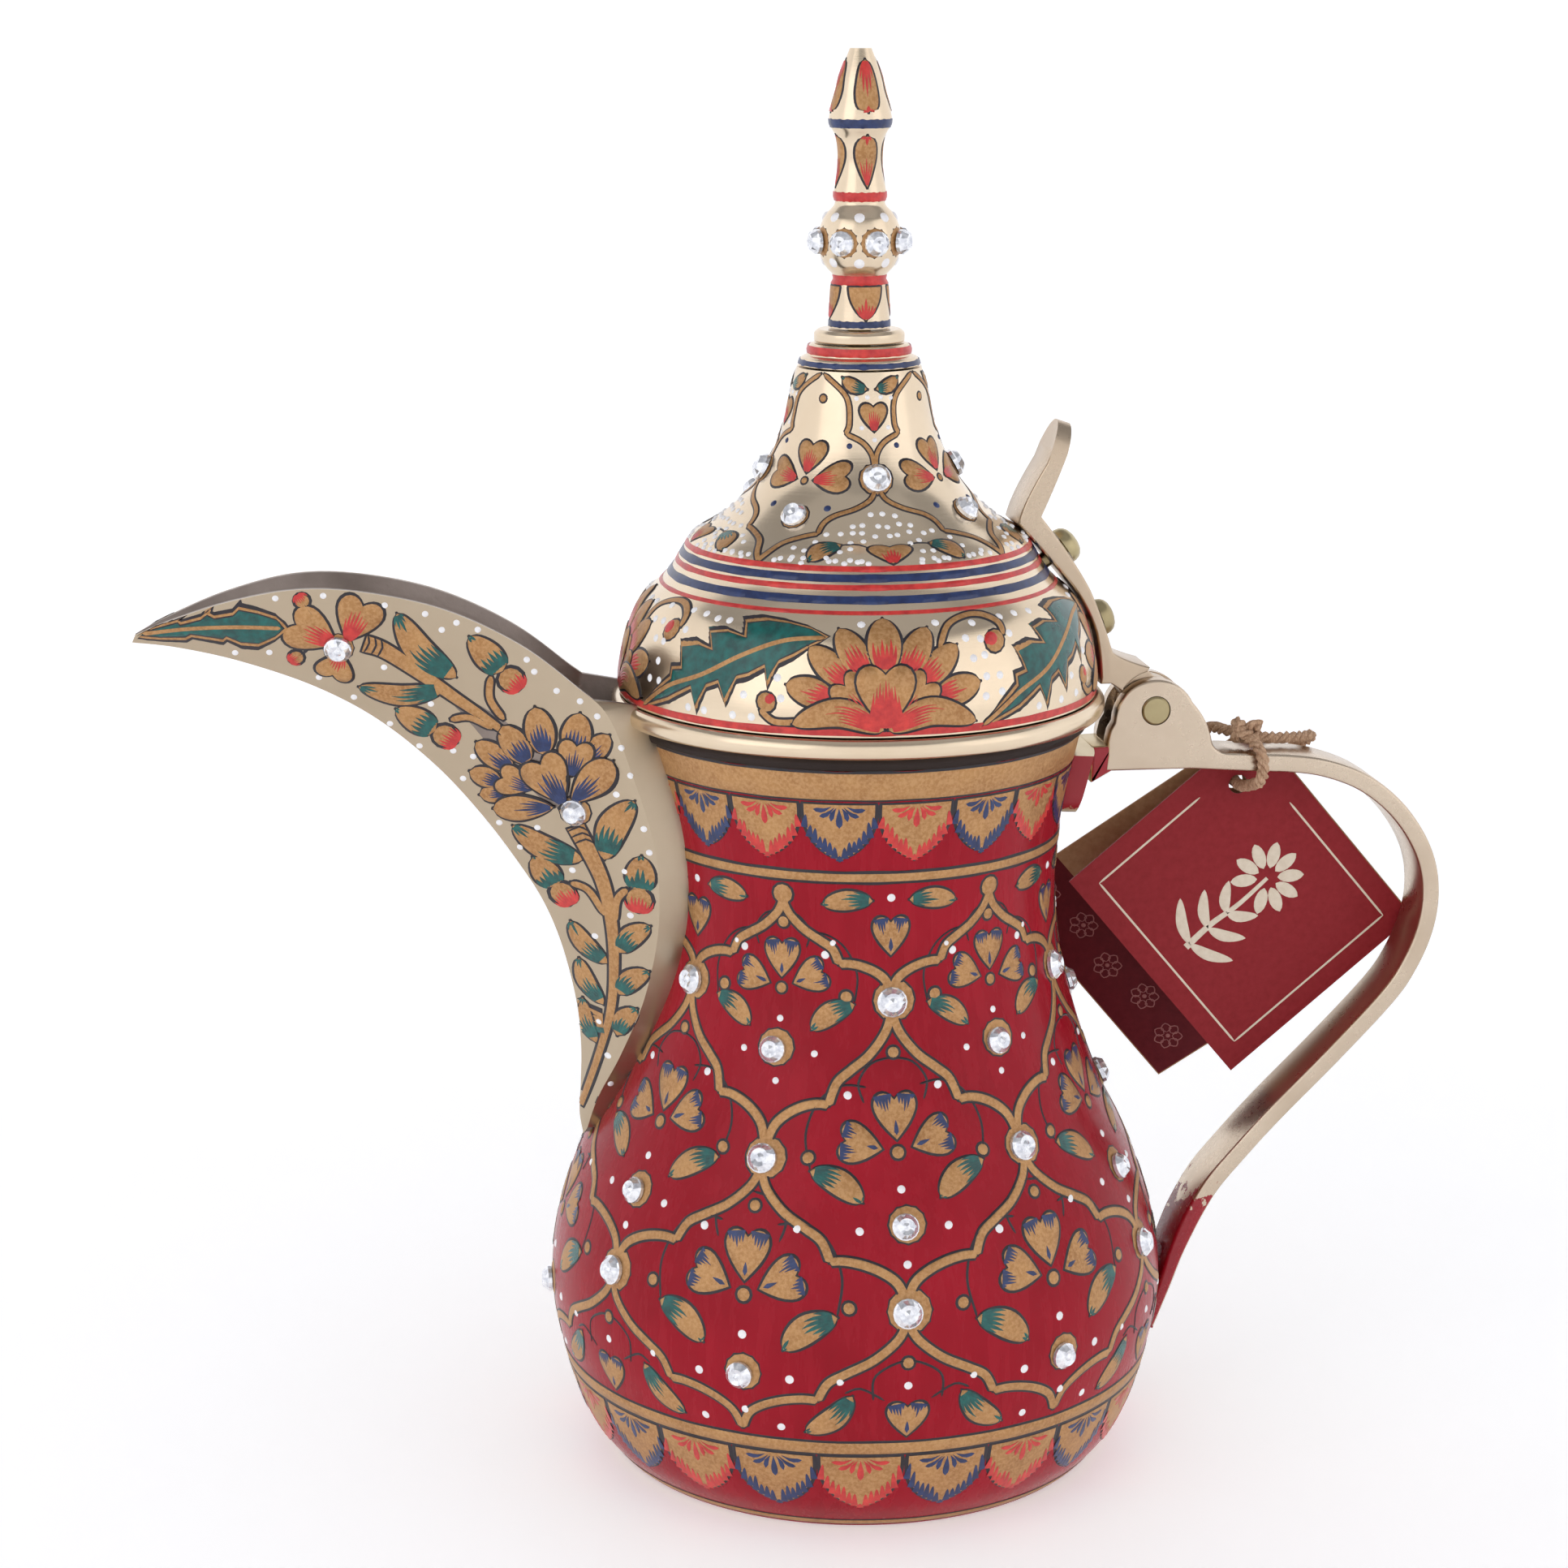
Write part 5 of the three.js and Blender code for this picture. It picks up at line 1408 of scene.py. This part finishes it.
def paint_lid():
    brush = Brush("lid")
    ring(brush, LID, 156.6, 158, "scarlet", 0)
    for low, high, color in ((185.1, 186.1, "scarlet"), (183.3, 184.7, "blue"), (181.9, 182.9, "scarlet"),
                             (179.6, 181, "blue"), (177.9, 178.5, "scarlet")):
        ring(brush, LID, low, high, color, 0)
    for k in range(4):
        at = LID.spot(NEAR_LOTUS + 90 * k, 157.4)
        brush.leaf_cut(at, LEAF_RIB, LEAF_EDGES)
        brush.shape(at, [(-16.4, 1.6), (-21, 1.4), (-23.8, 3.4)], even(0.6, 0.1))
        brush.spot(at, -22.6, 4.9, 2, "gold", RIM)
        brush.ink["scarlet"].dot(at, -22, 5.4, 1.35, TINT_LIFT + 0.16)
        brush.shape(at, [(10.4, 14.8), (12.4, 19.6), (16.2, 21.6), (20, 21.4), (23.6, 19.2), (24.6, 16.6)],
                    even(0.62, 0.1))
        brush.spot(at, 22.4, 15.6, 2.4, "gold", RIM)
        brush.ink["scarlet"].dot(at, 21.6, 16, 1.65, TINT_LIFT + 0.16)
        paint_lotus(brush, at)
        node = NEAR_FRAME + 90 * k
        here = LID.spot(node, 200.2)
        for side in (-1, 1):
            for part in LID_FRAME:
                path = LID.local(node, 200.2, [(node + side * a, z) for a, z in part])
                brush.shape(here, path, even(0.42, 0.05), 0.3)
            low = LID.spot(node, 188)
            brush.leaf(low, (side * 8.6, 2.6), (side * 15.4, -2), 1.9, bend=0.1 * side)
            brush.line(low, flip(side, (3.6, 2), (5.6, 2.9), (8.6, 2.6)))
            brush.leaf(LID.spot(node, 216.7), (side * 0.9, 0), (side * 5.4, 2.2), 1.35, bend=-0.12 * side)
            brush.spot(LID.spot(node + side * 17, 206.2), 0, 0, 0.62, "blue")
            for x, y in ((3.4, -1.2), (1.3, -1), (2.6, -6.8)):
                brush.spot(LID.spot(node + 2, 216.2), side * x, y, 0.5)
        brush.heart(LID.spot(node + 1, 186.4), (0, 0), (0, 5), 8.4, "scarlet", True)
        brush.heart(LID.spot(node + 1, 208.8), (0, 0), (0, 5.4), 5.2, "scarlet", True)
        brush.spot(LID.spot(node + 1, 207.3), 0, 0, 0.5)
        brush.spot(here, 0, 0, 3.4, "gold", 0.42)
        middle = node - 44
        flower = LID.spot(middle, 199.6)
        for root, tip in (((0, 1.5), (0, 8)), ((-1.8, 0.2), (-9, 1.4)), ((1.8, 0.2), (9, 1.4))):
            brush.heart(flower, root, tip, 6.4, "scarlet", True)
        brush.spot(flower, 0, 0, 0.8, "gold", 0.35)
        brush.spot(LID.spot(middle + 3, 193.4), 0, 0, 2.95, "gold", 0.35)
        brush.spot(LID.spot(middle + 3, 214.8), 0, 0, 0.85, "gold", 0.35)
        for side in (-1, 1):
            brush.spot(LID.spot(middle + 2 + side * 16, 195.1), 0, 0, 0.78, "blue")
    row = 0
    for z_low, z_high, step, test in LID_DOTS:
        s, end = LID.s_at(z_low), LID.s_at(z_high)
        while s < end:
            r, z, _, _ = LID.row(s)
            count = int(2 * math.pi * r / step)
            for i in range(count):
                angle = (i + 0.5 * (row % 2)) * 360 / count + random.uniform(-0.2, 0.2) * step / r * 57
                offset = (angle - NEAR_FRAME + 45) % 90 - 45
                point = LID.at(angle, s, 0)
                if test(offset, z) and brush.clear(point, 0.5):
                    at = LID.spot(angle, z + random.uniform(-0.3, 0.3))
                    brush.ink["white"].dot(at, 0, 0, 0.85 if z < 180 else 0.65, 0.28, 8)
            row += 1
            s += step
    stones = [(LID.spot(a, 200.2), 2.75) for a in range(1, 361, 90)]
    stones += [(LID.spot(a, 193.4), 2.55) for a in range(50, 361, 90)]
    make_stones("lid_stones", "lid", [set_stone(at, 0, 0, radius) for at, radius in stones], "lid_stone")
    ball = [set_stone(SPINDLE.spot(12.5 + 45 * i, 243.8), 0, 0, 2.4) for i in range(8)]
    make_stones("ball_stones", "lid", ball, "ball_stone")


def paint_finial():
    brush = Brush("lid")
    for low, high, color in ((227.5, 228.8, "blue"), (235.6, 237.4, "scarlet"), (251.4, 253.2, "scarlet"),
                             (265.2, 266.9, "blue")):
        ring(brush, SPINDLE, low, high, color, 0)
    step = Turned(TOP_STEP, 80)
    ring(brush, step, 220.3, 221.3, "blue", 0)
    ring(brush, step, 222.3, 223.9, "scarlet", 0)
    for k in range(4):
        brush.petal(SPINDLE.spot(273 + 90 * k, 235.3), [(0, 0), (0, -3), (0, -6.2)],
                    lambda t: 3.5 * (1 - min(max(t, 0), 1) ** 2.4), ("scarlet", 0.96, 0.45, 7))
        for angle, z, tip, half, fringes in (
                (277, 254.2, 9.7, swell(2.3, 0.68, 0.62), ((0.06, 0.6, 5, 0.6), (0.98, 0.84, 5))),
                (276, 268.3, 10, swell(2.4, 0.32, 0.62), ((0.95, 0.4, 5, 0.62), (0.02, 0.14, 5)))):
            at = SPINDLE.spot(angle + 90 * k, z)
            brush.shape(at, [(0, 0), (0, 4.6), (0, tip)], half)
            for fringe in fringes:
                brush.fringe(at, [(0, 0), (0, tip)], half, "scarlet", *fringe)
    for k in range(8):
        at = SPINDLE.spot(12.5 + 45 * k, 243.8)
        brush.spot(at, 0, 0, 3.05, "gold", 0.35)
        for z in (239.9, 248.6):
            brush.spot(SPINDLE.spot(35 + 45 * k, z), 0, 0, 1.1)


# ---- hang tag ----
HOLE = Vector((80.4, 7.6, 132))
FOLD_LENGTH, FRONT_LEAF, BACK_LEAF = 55, 49.5, 66
LEAF_OPENING = math.radians(20)
HOLE_TO_FOLD, HOLE_TO_SIDE = 10.2, 7.7
CARD_THICKNESS = 0.5
TAG_TURN = placing(*HOLE, 50, "Y") @ Matrix.Translation((-HOLE_TO_SIDE, -CARD_THICKNESS / 2, HOLE_TO_FOLD))


def leaf_sheet(length, offset, lean):
    """One leaf of the card: a thin slab that hangs from the fold and leans out by an angle."""
    columns, rows = 22, 22
    verts, faces, grid = [], [], {}
    for face in (0, 1):
        y = offset + face * CARD_THICKNESS
        for c in range(columns + 1):
            for r in range(rows + 1):
                down = length * r / rows
                grid[face, c, r] = len(verts)
                verts.append((FOLD_LENGTH * c / columns, y * math.cos(lean) + down * math.sin(lean),
                              y * math.sin(lean) - down * math.cos(lean)))
    for face in (0, 1):
        for c in range(columns):
            for r in range(rows):
                faces.append([grid[face, c + i, r + j] for i, j in ((0, 0), (1, 0), (1, 1), (0, 1))])
    for c in range(columns):
        for r in (0, rows):
            faces.append([grid[0, c, r], grid[0, c + 1, r], grid[1, c + 1, r], grid[1, c, r]])
    for r in range(rows):
        for c in (0, columns):
            faces.append([grid[0, c, r], grid[0, c, r + 1], grid[1, c, r + 1], grid[1, c, r]])
    return verts, faces


def on_front(x, y, lift):
    return TAG_TURN @ Vector((x, -0.03 - lift * 0.35, y))


def on_back(x, y, lift):
    up, c, s = CARD_THICKNESS - 0.03 - lift * 0.35, math.cos(LEAF_OPENING), math.sin(LEAF_OPENING)
    return TAG_TURN @ Vector((x, up * c - y * s, y * c + up * s))


def print_front(ink):
    """A plain leafy sprig with a flower, inside a line border that is open at the hole's corner."""
    near, far, corner = 4.5, FOLD_LENGTH - 4.5, 18
    low = near - FRONT_LEAF
    border = [(near, -corner), (near, low), (far, low), (far, -near), (corner, -near)]
    for a, b in zip(border, border[1:]):
        ink.stroke(on_front, smooth([a, b], 2), even(0.22), 0.12, 2)
    stem = smooth([(27.5, -40), (27.2, -33), (27.8, -26), (27.5, -18)])
    ink.stroke(on_front, stem, lambda t: 0.75 - 0.35 * t, 0.14)
    flower = Vector((27.5, -18))
    for tip in arc(flower, 7.8, math.radians(-54), math.radians(234), 8):
        ink.stroke(on_front, smooth([flower.lerp(tip, 0.28), tip]), swell(1.35), 0.14)
    for side in (-1, 1):
        for k in range(3):
            root = Vector((27.5, -39 + 5 * k))
            tip = root + Vector((side * (9 - 2 * k), 4.6))
            middle = root.lerp(tip, 0.5) + Vector((0, -0.8))
            ink.stroke(on_front, smooth([root, middle, tip]), swell(1.2), 0.14)


def print_back(maroon, pink):
    """A dark band along the end of the back leaf, with line flowers on it."""
    half = 7.5
    middle = half - BACK_LEAF
    band = smooth([(0.25, middle), (FOLD_LENGTH - 0.25, middle)], 2)
    maroon.stroke(on_back, band, lambda t: half - 0.25, 0.1, 2)
    for k in range(5):
        centre = Vector((6 + 10.6 * k, -58.5 + 1.8 * (k % 2)))
        for j in range(7):
            a = 2 * math.pi * j / 7
            tip = centre + Vector((3.1 * math.cos(a), 3.1 * math.sin(a)))
            side = Vector((-math.sin(a), math.cos(a))) * 1.1
            root, mid = centre.lerp(tip, 0.3), centre.lerp(tip, 0.6)
            pink.stroke(on_back, smooth([root, mid + side, tip, mid - side, root], 0.6), even(0.13), 0.34, 2)
        pink.dot(on_back, centre.x, centre.y, 0.6, 0.34, 10)


def build_tag():
    front = card("printed_card", (0.235, 0.011, 0.016), (0.29, 0.018, 0.024))
    kraft = card("kraft_card", (0.4, 0.24, 0.12), (0.52, 0.33, 0.18), 0.7)
    looks = {"cream": card("cream_print", (0.7, 0.6, 0.47), (0.8, 0.71, 0.58)),
             "maroon": card("maroon_print", (0.11, 0.006, 0.012), (0.15, 0.012, 0.018)),
             "pink": card("pale_line_print", (0.34, 0.13, 0.13), (0.42, 0.18, 0.17))}
    hole = moved(rod(2, 12, 40), placing(HOLE_TO_SIDE, 4, -HOLE_TO_FOLD, 90, "X"))
    for name, shape, look, nodes in (
            ("tag_front", leaf_sheet(FRONT_LEAF, 0, 0), front, ["hang_tag"]),
            ("tag_back", leaf_sheet(BACK_LEAF, CARD_THICKNESS, LEAF_OPENING), kraft, ())):
        leaf = make(name, *moved(shape, TAG_TURN), look, "tag", "printed_card", nodes, 50)
        boolean(leaf, moved(hole, TAG_TURN), sharp=50)
    ink = {name: Ink() for name in looks}
    print_front(ink["cream"])
    print_back(ink["maroon"], ink["pink"])
    for name, look in looks.items():
        make(f"tag_print_{name}", ink[name].verts, ink[name].faces, look, "tag", "printed_card", (), 60)


# ---- twine ----
def ply(path, radius, turn_per_mm, phase, offset, sides=7):
    """One twisted strand that winds round a path."""
    verts, travelled = [], 0
    last = len(path) - 1
    up = Vector((0, 0, 1))
    for i, p in enumerate(path):
        along = (path[min(i + 1, last)] - path[max(i - 1, 0)]).normalized()
        if i:
            travelled += (p - path[i - 1]).length
        side = along.cross(up)
        side = side.normalized() if side.length > 0.05 else Vector((1, 0, 0))
        up = side.cross(along).normalized()
        a = phase + travelled * turn_per_mm
        centre = p + (side * math.cos(a) + up * math.sin(a)) * offset
        for k in range(sides):
            b = 2 * math.pi * k / sides
            fuzz = 1 + 0.12 * math.sin(5 * b + 1.7 * travelled)
            verts.append(centre + (side * math.cos(b) + up * math.sin(b)) * radius * fuzz)
    return verts, closed_tube(len(path), sides)


def build_twine():
    shapes = []
    turns = [2 * math.pi * 1.6 * k / 25 for k in range(26)]
    loop = [KNOT + Vector((1.9 * math.cos(a), 1.5 * math.sin(a) - 0.4, 0.9 * math.sin(a * 0.62) - 0.2))
            for a in turns]
    ends = [[KNOT + Vector(p) for p in end] for end in TWINE_ENDS]
    for route in [*TWINE_ROUTES, loop, *ends]:
        length = sum((Vector(b) - Vector(a)).length for a, b in zip(route, route[1:]))
        path = spline(route, max(8, round(length / 0.35)))
        for k in range(3):
            shapes.append(ply(path, 0.68, 1.15, 2 * math.pi * k / 3, 0.58))
    twine = make("twine_jute", *merged(*shapes), JUTE, None, None, (), 60)
    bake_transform(twine)
    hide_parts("twine")


# ---- build ----
build_body()
spout = build_spout()
paint_body()
paint_spout(spout)
build_handle()
build_lid()
build_arm()
build_finial()
paint_lid()
paint_finial()
build_tag()
build_twine()
for body, inks in INKS.items():
    for color, ink in inks.items():
        if ink.faces:
            slot = "red_lacquer" if body == "pot" else "polished_brass"
            make(f"{body}_paint_{color}", ink.verts, ink.faces, INK_COLORS[color], body, slot, (), 60)


# ---- floor and light ----
def add_stage():
    """A round pale floor that curves up into a wall on every side."""
    reach, rise, sides, level = 1300, 500, 96, -0.05
    bend = [math.pi / 2 * k / 16 for k in range(1, 17)]
    profile = [(400, level), (reach, level)]
    profile += [(reach + rise * math.sin(a), rise - rise * math.cos(a)) for a in bend]
    profile.append((reach + rise, 1700))
    angles = [2 * math.pi * k / sides for k in range(sides)]
    verts = [(0, 0, level)] + [(r * math.cos(a), r * math.sin(a), z) for r, z in profile for a in angles]
    faces = [(0, 1 + k, 1 + (k + 1) % sides) for k in range(sides)] + tube(len(profile), sides, 1)
    look = Look("pale_floor", 0.6)
    look.color(look.ramp(look.noise(6), (0.2, (0.9, 0.9, 0.91)), (0.8, (0.93, 0.93, 0.94))))
    look.shader.inputs["Emission Color"].default_value = (1, 1, 1, 1)
    look.shader.inputs["Emission Strength"].default_value = 0.335
    floor = make("floor", verts, faces, look.material, None, None, (), 60)


def add_light(name, location, target, size, power):
    data = bpy.data.lights.new(name, "AREA")
    data.shape = "RECTANGLE"
    data.size, data.size_y = size[0] * MM, size[1] * MM
    data.energy = power
    light = bpy.data.objects.new(name, data)
    light.location = Vector(location) * MM
    light.rotation_euler = (Vector(target) - Vector(location)).to_track_quat("-Z", "Y").to_euler()
    scene.collection.objects.link(light)


add_stage()
add_light("key_left", (-900, -700, 700), (0, 0, 130), (900, 1100), 1.45)
add_light("key_right", (900, -600, 600), (0, 0, 130), (700, 1000), 0.55)
add_light("top", (0, -100, 1300), (0, 0, 100), (1400, 1000), 0.5)
world = bpy.data.worlds.new("studio")
scene.world = world
world.use_nodes = True
sky = world.node_tree.nodes["Background"].inputs
sky["Color"].default_value = (0.95, 0.96, 1, 1)
sky["Strength"].default_value = 0.37
